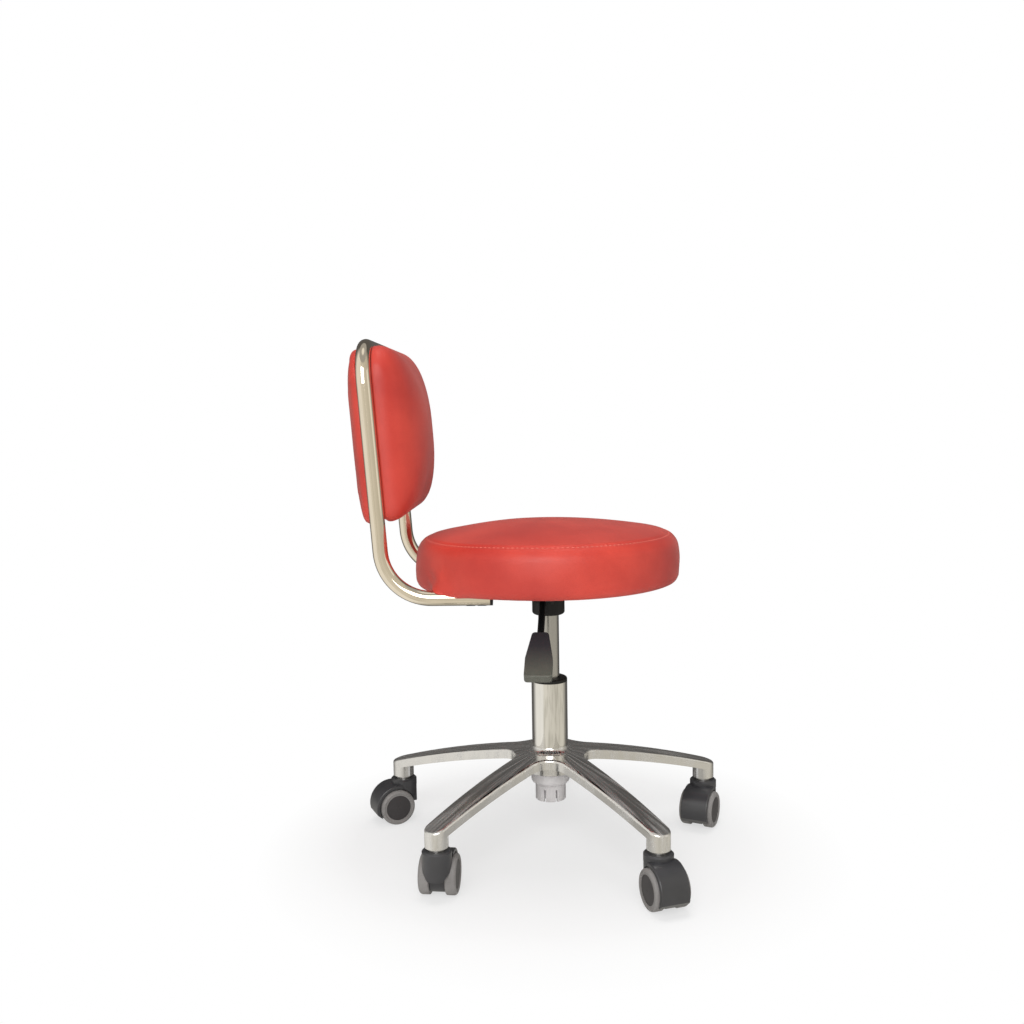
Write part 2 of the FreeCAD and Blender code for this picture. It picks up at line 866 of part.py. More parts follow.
def bolts_shape():
    """Four plate bolts, and four frame bolts whose rounded heads sit inside the tube, under its top."""
    radius = bolt_diameter / 2
    top = board_bottom + bolt_bite
    bolts = []
    for x, y in bolt_places():
        head = upright(bolt_head_diameter / 2, plate_bottom - bolt_head_height, plate_bottom, x, y)
        bolts.append(head.fuse(upright(radius, plate_bottom, top, x, y)).removeSplitter())
    seat = frame_tube_bore - fit_clearance
    head_low = frame_height + seat - bolt_head_height
    for x, y in frame_bolt_places():
        head = upright(bolt_head_diameter / 2, head_low, frame_height + seat, x, y)
        inside = rod(seat, Vector(x, y - bolt_head_diameter, frame_height),
                     Vector(x, y + bolt_head_diameter, frame_height))
        bolts.append(head.common(inside).fuse(upright(radius, head_low, top, x, y)).removeSplitter())
    return Part.makeCompound(bolts)


lever_slope = math.radians(lever_slope_deg)
lever_turn = math.radians(lever_turn_deg)
lever_start = Vector(-pivot_reach, lever_offset, pivot_height)
lever_along = Vector(-math.cos(lever_slope) * math.cos(lever_turn),
                     math.cos(lever_slope) * math.sin(lever_turn),
                     -math.sin(lever_slope))
lever_across = Vector(math.sin(lever_turn), math.cos(lever_turn), 0)
lever_up = lever_across.cross(lever_along)


def lever_rod_shape():
    """Lever: a tongue over the release pin, a strap, the pivot barrel and the handle's rod."""
    strap_x = (-pivot_reach - strap_thickness / 2, -pivot_reach + strap_thickness / 2)
    tongue_top = tongue_bottom + tongue_thickness
    strap = block(strap_x, (barrel_low, barrel_high), (pivot_height, tongue_top))
    tongue = block((-pivot_reach, tongue_overhang), (tongue_low, tongue_low + tongue_width),
                   (tongue_bottom, tongue_top))
    barrel = pivot_bar(barrel_diameter / 2, barrel_low, barrel_high)
    handle_rod = rod(lever_rod_diameter / 2, lever_start, lever_start + lever_along * lever_rod_length)
    body = barrel.fuse([strap, tongue, handle_rod])
    pin_hole = pivot_bar(lever_pin_diameter / 2 + running_clearance, barrel_low, barrel_high)
    return body.cut(pin_hole).removeSplitter()


def paddle_section(distance, width, thickness):
    wire = rounded_rectangle(width / 2, -thickness / 2, thickness / 2, paddle_corner, paddle_corner, 0.0)
    centre = lever_start + lever_along * distance
    frame = FreeCAD.Matrix(
        lever_across.x, lever_up.x, lever_along.x, centre.x,
        lever_across.y, lever_up.y, lever_along.y, centre.y,
        lever_across.z, lever_up.z, lever_along.z, centre.z)
    wire.Placement = FreeCAD.Placement(frame)
    return wire


def paddle_shape():
    start = paddle_section(paddle_start, paddle_width_start, paddle_thickness_start)
    flare = paddle_section(paddle_start + paddle_flare_share * paddle_length, paddle_width_end,
                           paddle_thickness_start)
    end = paddle_section(paddle_start + paddle_length, paddle_width_end, paddle_thickness_end)
    paddle = Part.makeLoft([start, flare, end], True, True)
    bore = rod(lever_rod_diameter / 2 + fit_clearance, lever_start,
               lever_start + lever_along * (lever_rod_length + fit_clearance))
    return paddle.cut(bore)


def make_seat_mechanism():
    save("seat_plate", seat_plate_shape())
    save("socket_cover", socket_cover_shape())
    save("lever_pin", pivot_bar(lever_pin_diameter / 2, ear_inner_low - ear_thickness,
                                ear_inner_high + ear_thickness))
    save("seat_bolts", bolts_shape())
    save("lever_rod", lever_rod_shape())
    save("lever_handle", paddle_shape())


# Back frame

lean = math.radians(back_lean_deg)
bend_turn = math.pi / 2 - lean
bend_end_y = frame_bend_start + frame_bend_radius * math.sin(bend_turn)
bend_end_z = frame_height + frame_bend_radius * (1 - math.cos(bend_turn))
hoop_length = (frame_height + hoop_rise - bend_end_z) / math.cos(lean)


def on_back(x, along, ahead):
    """A point on the leaning back: across, up along the uprights and ahead of their plane."""
    return Vector(x,
                  bend_end_y + along * math.sin(lean) - ahead * math.cos(lean),
                  bend_end_z + along * math.cos(lean) + ahead * math.sin(lean))


def lower_run(side):
    """One side of the tube's centre line, from its front end to the top of its lower bend."""
    x = side * hoop_half_width
    half = bend_turn / 2
    front = Vector(x, frame_front, frame_height)
    start = Vector(x, frame_bend_start, frame_height)
    middle = Vector(x, frame_bend_start + frame_bend_radius * math.sin(half),
                    frame_height + frame_bend_radius * (1 - math.cos(half)))
    end = on_back(x, 0, 0)
    return [Part.makeLine(front, start), Part.Arc(start, middle, end).toShape()]


def hoop_edges():
    """The whole centre line: lower run, upright, top corner, top run and back down."""
    straight = hoop_length - hoop_corner_radius
    inner = hoop_half_width - hoop_corner_radius
    diagonal = hoop_corner_radius * math.sqrt(0.5)
    corners = {}
    for side in (-1, 1):
        corners[side] = (on_back(side * hoop_half_width, straight, 0),
                         on_back(side * (inner + diagonal), straight + diagonal, 0),
                         on_back(side * inner, hoop_length, 0))
    rise, bend, top = corners[-1]
    fall, bend_back, top_end = corners[1]
    edges = lower_run(-1)
    edges.append(Part.makeLine(on_back(-hoop_half_width, 0, 0), rise))
    edges.append(Part.Arc(rise, bend, top).toShape())
    edges.append(Part.makeLine(top, top_end))
    edges.append(Part.Arc(top_end, bend_back, fall).toShape())
    edges.append(Part.makeLine(fall, on_back(hoop_half_width, 0, 0)))
    return edges + [edge for edge in reversed(lower_run(1))]


def swept(edges, radius):
    """A round bar along a centre line that starts at the tube's front end."""
    path = Part.Wire(Part.__sortEdges__(edges))
    start = edges[0].Vertexes[0].Point
    circle = Part.Wire(Part.Circle(start, Y_AXIS, radius).toShape())
    return path.makePipeShell([circle], True, False)


def on_back_block(x_range, along_range, ahead_range):
    """A box in the leaning back's own directions."""
    shape = block(x_range, along_range, ahead_range)
    shape.rotate(Vector(0, 0, 0), X_AXIS, 90 - back_lean_deg)
    shape.translate(Vector(0, bend_end_y, bend_end_z))
    return shape


def tab_places():
    return [(side, along) for side in (-1, 1) for along in (tab_low, tab_low + tab_spacing)]


def tab_range(side, inner, outer):
    return tuple(sorted((side * inner, side * outer)))


tab_inner = hoop_half_width - frame_tube_radius - tab_reach
back_face = back_board_thickness / 2
screw_across = tab_inner + tab_reach / 2


def back_frame_shape():
    """Bent tube with four welded tabs for the back board, and access holes under its four bolts."""
    frame = swept(hoop_edges(), frame_tube_radius)
    tabs = []
    for side, along in tab_places():
        tabs.append(on_back_block(tab_range(side, tab_inner, hoop_half_width),
                                  (along - tab_height / 2, along + tab_height / 2),
                                  (-back_face - tab_thickness, -back_face)))
    frame = frame.fuse(tabs)
    cuts = [swept(hoop_edges(), frame_tube_bore)]
    cuts += bolt_holes(frame_height, board_bottom, frame_bolt_places(), slip_clearance)
    access_radius = bolt_head_diameter / 2 + face_gap
    access_low = frame_height - frame_tube_diameter
    cuts += [upright(access_radius, access_low, frame_height, x, y) for x, y in frame_bolt_places()]
    screw_hole = screw_diameter / 2 + slip_clearance
    cuts += [screw_bar(screw_hole, side, along, -back_face - tab_thickness, -back_face)
             for side, along in tab_places()]
    return frame.cut(cuts).removeSplitter()


def screw_bar(radius, side, along, start, end):
    return rod(radius, on_back(side * screw_across, along, start), on_back(side * screw_across, along, end))


def end_plugs_shape():
    bore = frame_tube_bore - fit_clearance
    plugs = []
    for side in (-1, 1):
        front = Vector(side * hoop_half_width, frame_front, frame_height)
        cap = rod(frame_tube_radius, front - Y_AXIS * plug_cap, front)
        plugs.append(cap.fuse(rod(bore, front, front + Y_AXIS * plug_depth)).removeSplitter())
    return Part.makeCompound(plugs)


def screws_shape():
    seat = -back_face - tab_thickness
    screws = []
    for side, along in tab_places():
        head = screw_bar(screw_head_diameter / 2, side, along, seat - screw_head_height, seat)
        shank = screw_bar(screw_diameter / 2, side, along, seat, -back_face + screw_bite)
        screws.append(head.fuse(shank).removeSplitter())
    return Part.makeCompound(screws)


# Seat and backrest, with their boards

back_half_width = hoop_half_width - frame_tube_radius - soft_gap
back_high = hoop_length - frame_tube_radius - soft_gap


def seat_board_shape():
    board = upright(board_radius, board_bottom, board_top)
    holes = bolt_holes(board_bottom, board_bottom + bolt_bite + face_gap,
                       bolt_places() + frame_bolt_places(), fit_clearance)
    return board.cut(holes)


def seat_cushion_shape():
    """Crowned round cushion that wraps the board, dented where the frame's tubes pass under it."""
    pocket = board_radius + face_gap
    pocket_top = board_top + face_gap
    outer = seat_diameter / 2
    foot = pocket + seat_skirt_width
    edge_top = seat_bottom + seat_height_at_edge
    side_low = seat_bottom + seat_bottom_round
    side_high = edge_top - seat_shoulder_height
    side = outer - seat_side_bulge
    shoulder = side - seat_shoulder_width
    bottom_middle = (side - ARC_INSET * (side - foot), seat_bottom + ARC_INSET * seat_bottom_round)
    shoulder_middle = (side - ARC_INSET * seat_shoulder_width, edge_top - ARC_INSET * seat_shoulder_height)
    cushion = turned(
        (pocket, seat_bottom),
        (foot, seat_bottom),
        (bottom_middle, (side, side_low)),
        ((outer, (side_low + side_high) / 2), (side, side_high)),
        (shoulder_middle, (shoulder, edge_top)),
        dome(shoulder, edge_top, seat_crown),
        (0, pocket_top),
        (pocket, pocket_top))
    channels = [swept(lower_run(side_sign), frame_tube_radius + soft_gap) for side_sign in (-1, 1)]
    return cushion.cut(channels)


def pad_shape(facing, thickness, roll, top_overlap):
    """Pillow pad on one face of the back board: it rolls out over the tube, then rounds in to its crown."""
    steps = [(0.0, 0.0, 0.0, 0.0), (roll, 0.0, -back_edge_overlap, -top_overlap)]
    for share in pad_rounding_insets:
        rise = (1 - (1 - share) ** pad_rounding_power) ** (1 / pad_rounding_power)
        height = roll + rise * (thickness - roll)
        shift = share * back_half_width
        steps.append((height, share, shift - back_edge_overlap, shift - top_overlap))
    wires = []
    for height, share, inset, top_inset in steps:
        half = back_half_width - inset
        low_corner, corner = [half * (edge_share + share * (pad_crown_corner_share - edge_share))
                              for edge_share in (pad_low_corner_share, pad_corner_share)]
        wires.append(rounded_rectangle(half, back_low + inset, back_high - top_inset, low_corner, corner,
                                       facing * (back_face + height)))
    pad = Part.makeLoft(wires, True, False)
    pad.rotate(Vector(0, 0, 0), X_AXIS, 90 - back_lean_deg)
    pad.translate(Vector(0, bend_end_y, bend_end_z))
    return pad.cut(swept(hoop_edges(), frame_tube_radius + soft_gap))


def front_pad_shape():
    return pad_shape(1, front_pad_thickness, front_pad_roll, front_pad_top_overlap)


def rear_pad_shape():
    """Rear pad with room for the tabs and the screw heads."""
    pockets = []
    depth = back_face + tab_thickness + screw_head_height + soft_gap
    for side, along in tab_places():
        pockets.append(on_back_block(
            tab_range(side, tab_inner - soft_gap, hoop_half_width),
            (along - tab_height / 2 - soft_gap, along + tab_height / 2 + soft_gap),
            (-depth, -back_face)))
    pad = pad_shape(-1, rear_pad_thickness, rear_pad_roll, back_edge_overlap)
    return pad.cut(pockets)


def back_board_shape():
    low = back_low + back_board_margin
    half = back_half_width
    wire = rounded_rectangle(half, low, back_high, back_corner, back_corner, -back_face)
    board = Part.Face(wire).extrude(Vector(0, 0, back_board_thickness))
    board.rotate(Vector(0, 0, 0), X_AXIS, 90 - back_lean_deg)
    board.translate(Vector(0, bend_end_y, bend_end_z))
    holes = [screw_bar(screw_diameter / 2 + fit_clearance, side, along, -back_face,
                       -back_face + screw_bite + face_gap) for side, along in tab_places()]
    return board.cut(holes)


def make_seat_and_back():
    save("seat_board", seat_board_shape())
    save("seat_cushion", seat_cushion_shape())
    save("back_frame", back_frame_shape())
    save("frame_end_plugs", end_plugs_shape())
    save("back_board", back_board_shape())
    save("back_board_screws", screws_shape())
    save("backrest_front_pad", front_pad_shape())
    save("backrest_rear_pad", rear_pad_shape())


os.makedirs("parts", exist_ok=True)
save("star_base", star_base_shape())
make_casters()
make_lift()
make_seat_mechanism()
make_seat_and_back()
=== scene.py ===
import json
import math

import bpy
from mathutils import Matrix, Vector, noise


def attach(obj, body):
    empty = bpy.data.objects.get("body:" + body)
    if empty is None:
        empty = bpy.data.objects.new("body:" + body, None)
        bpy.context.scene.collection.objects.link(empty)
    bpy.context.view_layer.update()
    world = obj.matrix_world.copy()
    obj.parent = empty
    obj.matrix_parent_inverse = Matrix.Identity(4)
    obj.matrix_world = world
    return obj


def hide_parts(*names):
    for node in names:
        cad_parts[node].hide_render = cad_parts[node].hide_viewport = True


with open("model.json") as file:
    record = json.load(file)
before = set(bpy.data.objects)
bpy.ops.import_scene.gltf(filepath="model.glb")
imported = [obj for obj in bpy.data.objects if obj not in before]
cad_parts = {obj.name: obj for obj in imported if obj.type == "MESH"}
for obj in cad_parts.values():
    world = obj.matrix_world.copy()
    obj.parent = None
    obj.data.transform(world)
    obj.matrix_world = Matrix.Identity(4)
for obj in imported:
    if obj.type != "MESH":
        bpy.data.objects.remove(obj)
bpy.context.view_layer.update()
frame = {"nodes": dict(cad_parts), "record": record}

nodes = frame["nodes"]
scene = bpy.context.scene

# Sizes in metres, in the frame of the solids: Z is up and the stool faces -Y.
# A range is where a soft step or a change of tone starts and ends.

# The photo's camera: its place, its direction, its level side before the roll, and its lens
camera_place = (-1.4022, 0.0, 0.5887)
camera_forward = Vector((0.99500, 0.03364, -0.09396))
camera_level_right = Vector((0.03379, -0.99943, 0.0))
camera_roll = 0.0161
sensor_width = 36.0
focal_pixels = 1044
picture_pixels = 1024

# Floor and the surround that polished pieces mirror
floor_size = 24.0
floor_drop = 0.0003
shadow_share = 0.38
shadow_range = (0.27, 0.40)
surround_inner = 0.05
surround_spread = 68.0
surround_lift = 0.001
surround_height = 5.5
ceiling_inner_share = 0.02
ceiling_range = (5.4, 5.45)

# Frame tube, with the leaning hoop of the back. There is no tube under the seat ahead of frame_from.
tube_radius = 0.0095
tube_height = 0.3609
tube_front = 0.072
frame_from = 0.05
bend_start = 0.1451
bend_radius = 0.063
back_lean = math.radians(4.0)
hoop_half_width = 0.121
hoop_top = 0.6759
hoop_corner = 0.048
bend_end_y = bend_start + bend_radius * math.cos(back_lean)
bend_end_z = tube_height + bend_radius * (1 - math.sin(back_lean))
hoop_length = (hoop_top - bend_end_z) / math.cos(back_lean)
plug_radius = 0.0056
plug_thickness = 0.0008
plug_sides = 32
plug_rings = 4
frame_bolt_rows = (0.0825, 0.0965)

# Covers as simulated cloth, and how near a tube they are drawn on to it
cover_pressure = 4.0
cloth_steps = 20
cover_gap = 0.0003
seat_tube_reach = 0.005
pad_tube_reach = 0.008

# Seat board, and where the seat's cover is held
board_radius = 0.160
board_top = 0.3825
board_bottom = 0.3705
dust_cloth_rise = 0.0003
held_past_board = 0.004
held_over_board = 0.003
seat_held_at_tube = 0.005
held_at_seam = 0.003
seam_lowest = 0.415

# Seat seam and its stitches
seat_seam_radius = 0.161
seam_depth = 0.0012
seam_width = 0.0024
stitch_count = 168
stitch_length = 0.0038
stitch_thickness = 0.0011
stitch_offset = 0.0016
above_seat = 0.6

# Shape of the seat's cover away from the seam
seat_middle = 0.01
upper_range = (0.395, 0.425)
skirt_range = (0.163, 0.172)
rear_sag = 0.0034
sag_range = (0.03, 0.17)
rear_bulge = 0.0022
bulge_range = (0.0, 0.15)
bulge_heights = (0.420, 0.376)
pucker_depth = 0.00035
puckers_across = 26.0
puckers_up = 60.0

# Folds where the seat's cover meets a tube, for the tube at +X. A ridge has a lift, a height and a width.
tuck_start = (0.098, 0.152, 0.381)
tuck_end = (0.126, 0.128, 0.3690)
tuck_ridges = ((0.0, 0.0022, 0.0045), (0.0095, -0.0012, 0.0050), (0.0185, 0.0008, 0.0055))
fold_place = (0.119, 0.136, 0.3735)
fold_width = 0.017
fold_height = 0.0085
droop_place = (0.130, 0.124, 0.369)
droop_width = 0.018
droop_depth = 0.0040
lap_place = (0.124, 0.139, 0.3715)
lap_width = 0.012
lap_height = 0.0075
lap_drop = 0.0055

# The cover's hem under the board, and its staples
hem_width = 0.015
hem_thickness = 0.0005
hem_inset = 0.0006
hem_drop = 0.0002
hem_sides = 240
hem_rings = 4
hem_flat = 0.002
hem_ripple = 0.0006
hem_ripple_count = 46
hem_clear_of_tube = 0.0145
staple_count = 44
staple_length = 0.010
staple_wire = 0.0009
staple_edge = 0.3
staple_row = 0.55
staple_drop = 0.0011
staple_turn = 0.12

# Backrest covers, and the blocks that close the rear one over the frame's tabs
pad_held_at_board = 0.0085
pad_held_at_tube = 0.003
rear_swell = 0.0038
swell_range = (0.006, 0.020)
tab_rows = (0.0591, 0.1791)
tab_fill_inner = 0.0880
tab_fill_outer = 0.1185
tab_fill_half_height = 0.0135
tab_fill_front = 0.0065
tab_fill_depth = 0.0130

# Lever paddle
lever_start = Vector((-0.032, 0.007, 0.3435))
lever_slope = math.radians(31.5)
lever_turn = math.radians(3.2)
paddle_start = 0.070
paddle_length = 0.078
paddle_flare = 0.0452
paddle_width_start = 0.021
paddle_width = 0.0345
paddle_thickness = 0.0125
paddle_corner = 0.0042
paddle_edge = 0.0019
thumb_panel_margin = 0.0022
thumb_panel_depth = 0.0005

# Tolerances, and the angles past which an edge stays sharp or is bevelled
near_end = 0.001
same_place = 0.0001
sharp_angle = math.radians(35)
bevel_angle = math.radians(40)


# Small helpers

def paint(red, green, blue):
    """A colour as it looks on a screen, 0 to 255, as the linear colour of a shader."""
    def linear(value):
        value = value / 255
        return value / 12.92 if value <= 0.04045 else ((value + 0.055) / 1.055) ** 2.4
    return (linear(red), linear(green), linear(blue), 1.0)


def shaded(colour, factor):
    """A colour made darker or lighter."""
    return tuple(factor * part for part in colour[:3]) + (1.0,)


def rise(start, end, value):
    """0 up to start, 1 from end on, and a soft step between them."""
    share = min(1.0, max(0.0, (value - start) / (end - start)))
    return share * share * (3 - 2 * share)


def bell(distance, width):
    """1 at no distance, falling off softly over a width."""
    return math.exp(-(distance / width) ** 2)


def axes(x_to, y_to, z_to):
    """The turn that takes X, Y and Z to three directions."""
    return Matrix((x_to, y_to, z_to)).transposed().to_4x4()


def only(thing):
    """Leaves one object selected and active."""
    if bpy.context.object and bpy.context.object.mode != "OBJECT":
        bpy.ops.object.mode_set(mode="OBJECT")
    bpy.ops.object.select_all(action="DESELECT")
    thing.select_set(True)
    bpy.context.view_layer.objects.active = thing


def edit(thing):
    """Opens one object in edit mode with all of it selected."""
    only(thing)
    bpy.ops.object.mode_set(mode="EDIT")
    bpy.ops.mesh.select_all(action="SELECT")


def done():
    """Goes back to object mode."""
    bpy.ops.object.mode_set(mode="OBJECT")


def started(name):
    """Names the object that was just made."""
    thing = bpy.context.object
    thing.name = name
    thing.data.name = name
    return thing


def settle(thing, place=None):
    """Puts the object's place, or the one that is given, into its mesh."""
    if place is not None:
        thing.matrix_world = place
    only(thing)
    bpy.ops.object.transform_apply(location=True, rotation=True, scale=True)


def primitive(name, add, **sizes):
    """Adds a primitive with nothing else selected, and puts its place into its mesh."""
    bpy.ops.object.select_all(action="DESELECT")
    add(**sizes)
    thing = started(name)
    settle(thing)
    return thing


def apply_modifier(thing, kind, **settings):
    """Adds a modifier with its settings and applies it."""
    only(thing)
    made = thing.modifiers.new(kind.title(), kind)
    for setting, value in settings.items():
        setattr(made, setting, value)
    bpy.ops.object.modifier_apply(modifier=made.name)


def pick(thing, kind, chosen):
    """Selects, in edit mode, the vertices, edges or faces for which chosen(item) is true."""
    done()
    kinds = {"VERT": thing.data.vertices, "EDGE": thing.data.edges, "FACE": thing.data.polygons}
    for items in kinds.values():
        for item in items:
            item.select = False
    for item in kinds[kind]:
        item.select = bool(chosen(item))
    bpy.context.tool_settings.mesh_select_mode = [kind == each for each in kinds]
    bpy.ops.object.mode_set(mode="EDIT")


def face_outward(thing):
    """Turns all faces of an object to the same, outer side."""
    edit(thing)
    bpy.ops.mesh.normals_make_consistent(inside=False)
    done()


def smooth(thing, angle=None):
    """Shades an object as smooth, with edges past an angle kept sharp if one is given."""
    only(thing)
    if angle is None:
        bpy.ops.object.shade_smooth()
    else:
        bpy.ops.object.shade_smooth_by_angle(angle=angle)


def joined(name, things):
    """Makes one object of several."""
    only(things[0])
    for thing in things[1:]:
        thing.select_set(True)
    bpy.ops.object.join()
    return started(name)


def repeated(name, first, places):
    """Makes one object of copies of the first, one at each place, and removes the first."""
    copies = []
    for place in places:
        copy = bpy.data.objects.new(first.name, first.data.copy())
        scene.collection.objects.link(copy)
        copy.data.transform(place)
        copies.append(copy)
    bpy.data.objects.remove(first)
    return joined(name, copies)


# Materials

class Value:
    """An output of a node, with arithmetic that adds Math nodes."""

    def __init__(self, nodes_of, socket):
        self.nodes_of = nodes_of
        self.socket = socket

    def __add__(self, other):
        return self.nodes_of.math("ADD", self, other)

    def __radd__(self, other):
        return self.nodes_of.math("ADD", other, self)

    def __sub__(self, other):
        return self.nodes_of.math("SUBTRACT", self, other)

    def __rsub__(self, other):
        return self.nodes_of.math("SUBTRACT", other, self)

    def __mul__(self, other):
        return self.nodes_of.math("MULTIPLY", self, other)

    def __rmul__(self, other):
        return self.nodes_of.math("MULTIPLY", other, self)

    def __truediv__(self, other):
        return self.nodes_of.math("DIVIDE", self, other)

    def __rtruediv__(self, other):
        return self.nodes_of.math("DIVIDE", other, self)


class Nodes:
    """The nodes of one material or of the world."""

    def __init__(self, tree):
        self.tree = tree

    def node(self, kind, settings=None, inputs=None, output=0):
        """Adds a node, sets it up, feeds its sockets and gives one of its outputs."""
        made = self.tree.nodes.new(kind)
        for setting, value in (settings or {}).items():
            setattr(made, setting, value)
        for socket, value in (inputs or {}).items():
            if isinstance(value, Value):
                self.tree.links.new(value.socket, made.inputs[socket])
            else:
                made.inputs[socket].default_value = value
        return Value(self, made.outputs[output])

    def math(self, operation, first, second):
        return self.node("ShaderNodeMath", {"operation": operation}, {0: first, 1: second})

    def between(self, value, low, high, from_low=0.0, from_high=1.0):
        """A value stretched from one range to another, and held inside it."""
        return self.node("ShaderNodeMapRange", {"clamp": True}, {
            "Value": value, "From Min": from_low, "From Max": from_high, "To Min": low, "To Max": high})

    def seen(self):
        """1 for what the camera sees, straight or in a polished or clear surface."""
        rays = [self.node("ShaderNodeLightPath", output=name)
                for name in ("Is Camera Ray", "Is Glossy Ray", "Is Transmission Ray")]
        return self.math("MAXIMUM", self.math("MAXIMUM", rays[0], rays[1]), rays[2])

    def show(self, kind, surface):
        """Links a shader to the output node of that kind."""
        output = [node for node in self.tree.nodes if node.type == kind][0]
        self.tree.links.new(surface.socket, output.inputs["Surface"])


class Finish(Nodes):
    """A procedural material. What is the same all over is set on the shader's own sockets."""

    def __init__(self, name, constants=None):
        self.material = bpy.data.materials.new(name)
        self.material.use_nodes = True
        super().__init__(self.material.node_tree)
        self.shader = self.tree.nodes["Principled BSDF"]
        for socket, value in (constants or {}).items():
            self.shader.inputs[socket].default_value = value
        self.place = self.node("ShaderNodeTexCoord", output="Object")

    def feed(self, socket, value):
        """Links a value to one of the shader's sockets."""
        self.tree.links.new(value.socket, self.shader.inputs[socket])

    def axis(self, name):
        """One coordinate of the place, in metres."""
        return self.node("ShaderNodeSeparateXYZ", inputs={0: self.place}, output=name)

    def reach(self):
        """How far the place is from the stool's upright axis, in metres."""
        level = self.node("ShaderNodeVectorMath", {"operation": "MULTIPLY"}, {
            0: self.place, 1: (1.0, 1.0, 0.0)})
        return self.node("ShaderNodeVectorMath", {"operation": "LENGTH"}, {0: level}, output="Value")

    def cloud(self, scale, detail=3.0, stretch=(1, 1, 1)):
        """Soft noise, 0 to 1, in steps of about 1/scale metres."""
        place = self.node("ShaderNodeMapping", inputs={"Vector": self.place, "Scale": stretch})
        return self.node("ShaderNodeTexNoise", inputs={
            "Vector": place, "Scale": scale, "Detail": detail, "Roughness": 0.55})

    def cells(self, scale, feature="DISTANCE_TO_EDGE"):
        """How far it is to the edge, or for F1 to the middle, of cells of about 1/scale metres."""
        return self.node("ShaderNodeTexVoronoi", {"feature": feature}, {
            "Vector": self.place, "Scale": scale}, output="Distance")

    def mixed(self, share, first, second):
        """One colour going over to another."""
        return self.node("ShaderNodeMix", {"data_type": "RGBA"}, {0: share, 6: first, 7: second}, output=2)

    def bump(self, height, depth, strength):
        """Relief whose full height is depth, in metres."""
        self.feed("Normal", self.node("ShaderNodeBump", inputs={
            "Height": height, "Distance": depth, "Strength": strength}))


def vinyl(name, deep, light):
    """Soft grained cover cloth with a satin skin."""
    made = Finish(name, {"IOR": 1.5, "Specular IOR Level": 0.55, "Sheen Weight": 0.14,
                         "Sheen Roughness": 0.45, "Sheen Tint": (1.0, 0.78, 0.74, 1.0)})
    patches = made.cloud(9.0, detail=4.0)
    pebble = made.cells(620.0)
    fine = made.cloud(1900.0, detail=2.0)
    tone = made.mixed(made.between(patches, 0.0, 1.0, 0.32, 0.7), deep, light)
    tone = made.mixed(made.between(pebble, 0.32, 0.0, 0.0, 0.16), tone, deep)
    made.feed("Base Color", tone)
    made.feed("Roughness", made.between(patches, 0.37, 0.47) + made.between(pebble, 0.06, 0.0, 0.0, 0.2))
    made.bump(made.between(pebble, 0.0, 1.0, 0.0, 0.22) + fine * 0.25, 0.00010, 0.6)
    return made


def moulded(name, colour, roughness, grain, depth, gloss):
    """Moulded plastic with a fine spark-eroded grain and slight unevenness of tone."""
    made = Finish(name, {"IOR": 1.46, "Specular IOR Level": gloss})
    uneven = made.cloud(24.0)
    speck = made.cloud(grain, detail=2.0)
    made.feed("Base Color", made.mixed(made.between(uneven * 0.7 + speck * 0.3, 0.0, 1.0, 0.3, 0.7),
                                       shaded(colour, 0.78), shaded(colour, 1.22)))
    made.feed("Roughness", made.between(uneven, roughness - 0.07, roughness + 0.07, 0.3, 0.7))
    made.bump(speck, depth, 0.5)
    return made


def metal(name, colour, roughness, smear, ripple):
    """Bare or plated metal with faint smears and the slight waviness of polishing."""
    made = Finish(name, {"Metallic": 1.0})
    wave = made.cloud(38.0, detail=2.0)
    wipe = made.cloud(60.0, detail=5.0, stretch=(1.0, 1.0, 0.25))
    made.feed("Base Color", made.mixed(made.between(wipe, 0.0, 1.0, 0.35, 0.7), colour, shaded(colour, 0.93)))
    made.feed("Roughness", made.between(wipe, roughness, roughness + smear, 0.35, 0.75))
    made.bump(wave, ripple, 0.4)
    return made


def cast_metal(name, colour):
    """Polished casting, worn in streaks that run out along the arms."""
    made = Finish(name)
    turn = made.math("ARCTAN2", made.axis("Y"), made.axis("X"))
    along = made.node("ShaderNodeCombineXYZ", inputs={
        0: turn * 42.0, 1: made.reach() * 9.0, 2: made.axis("Z") * 30.0})
    streak = made.node("ShaderNodeTexNoise", inputs={"Vector": along, "Scale": 1.0, "Detail": 4.0})
    wave = made.cloud(38.0, detail=2.0)
    made.feed("Base Color", made.mixed(made.between(streak, 0.0, 1.0, 0.35, 0.7),
                                       colour, shaded(colour, 0.94)))
    made.feed("Roughness", made.between(streak, 0.16, 0.30, 0.38, 0.70))
    made.feed("Metallic", made.between(streak, 1.0, 0.55, 0.44, 0.74))
    made.bump(wave, 0.00002, 0.3)
    return made


def layered_wood(name, cloth_under=None):
    """Plywood: pale faces with long grain and glue lines on its edge, with black cloth below a height."""
    made = Finish(name, {"IOR": 1.45, "Specular IOR Level": 0.3})
    grain = made.cloud(40.0, detail=6.0, stretch=(12.0, 0.8, 1.0))
    plies = made.node("ShaderNodeTexWave", {"bands_direction": "Z", "wave_profile": "SIN"}, {
        "Vector": made.place, "Scale": 160.0, "Distortion": 0.4})
    tone = made.mixed(made.between(grain * 0.7 + plies * 0.3, 0.0, 1.0, 0.25, 0.75),
                      paint(146, 108, 70), paint(204, 170, 122))
    rough = made.between(grain, 0.6, 0.78)
    if cloth_under is not None:
        below = made.between(made.axis("Z"), 1.0, 0.0, cloth_under - same_place, cloth_under)
        dots = made.between(made.cells(700.0, "F1"), 0.0, 1.0, 0.2, 0.7)
        tone = made.mixed(below, tone, made.mixed(dots, paint(20, 20, 21), paint(36, 36, 37)))
        rough = rough + below * 0.15
    made.feed("Base Color", tone)
    made.feed("Roughness", rough)
    made.bump(grain, 0.0002, 0.5)
    return made


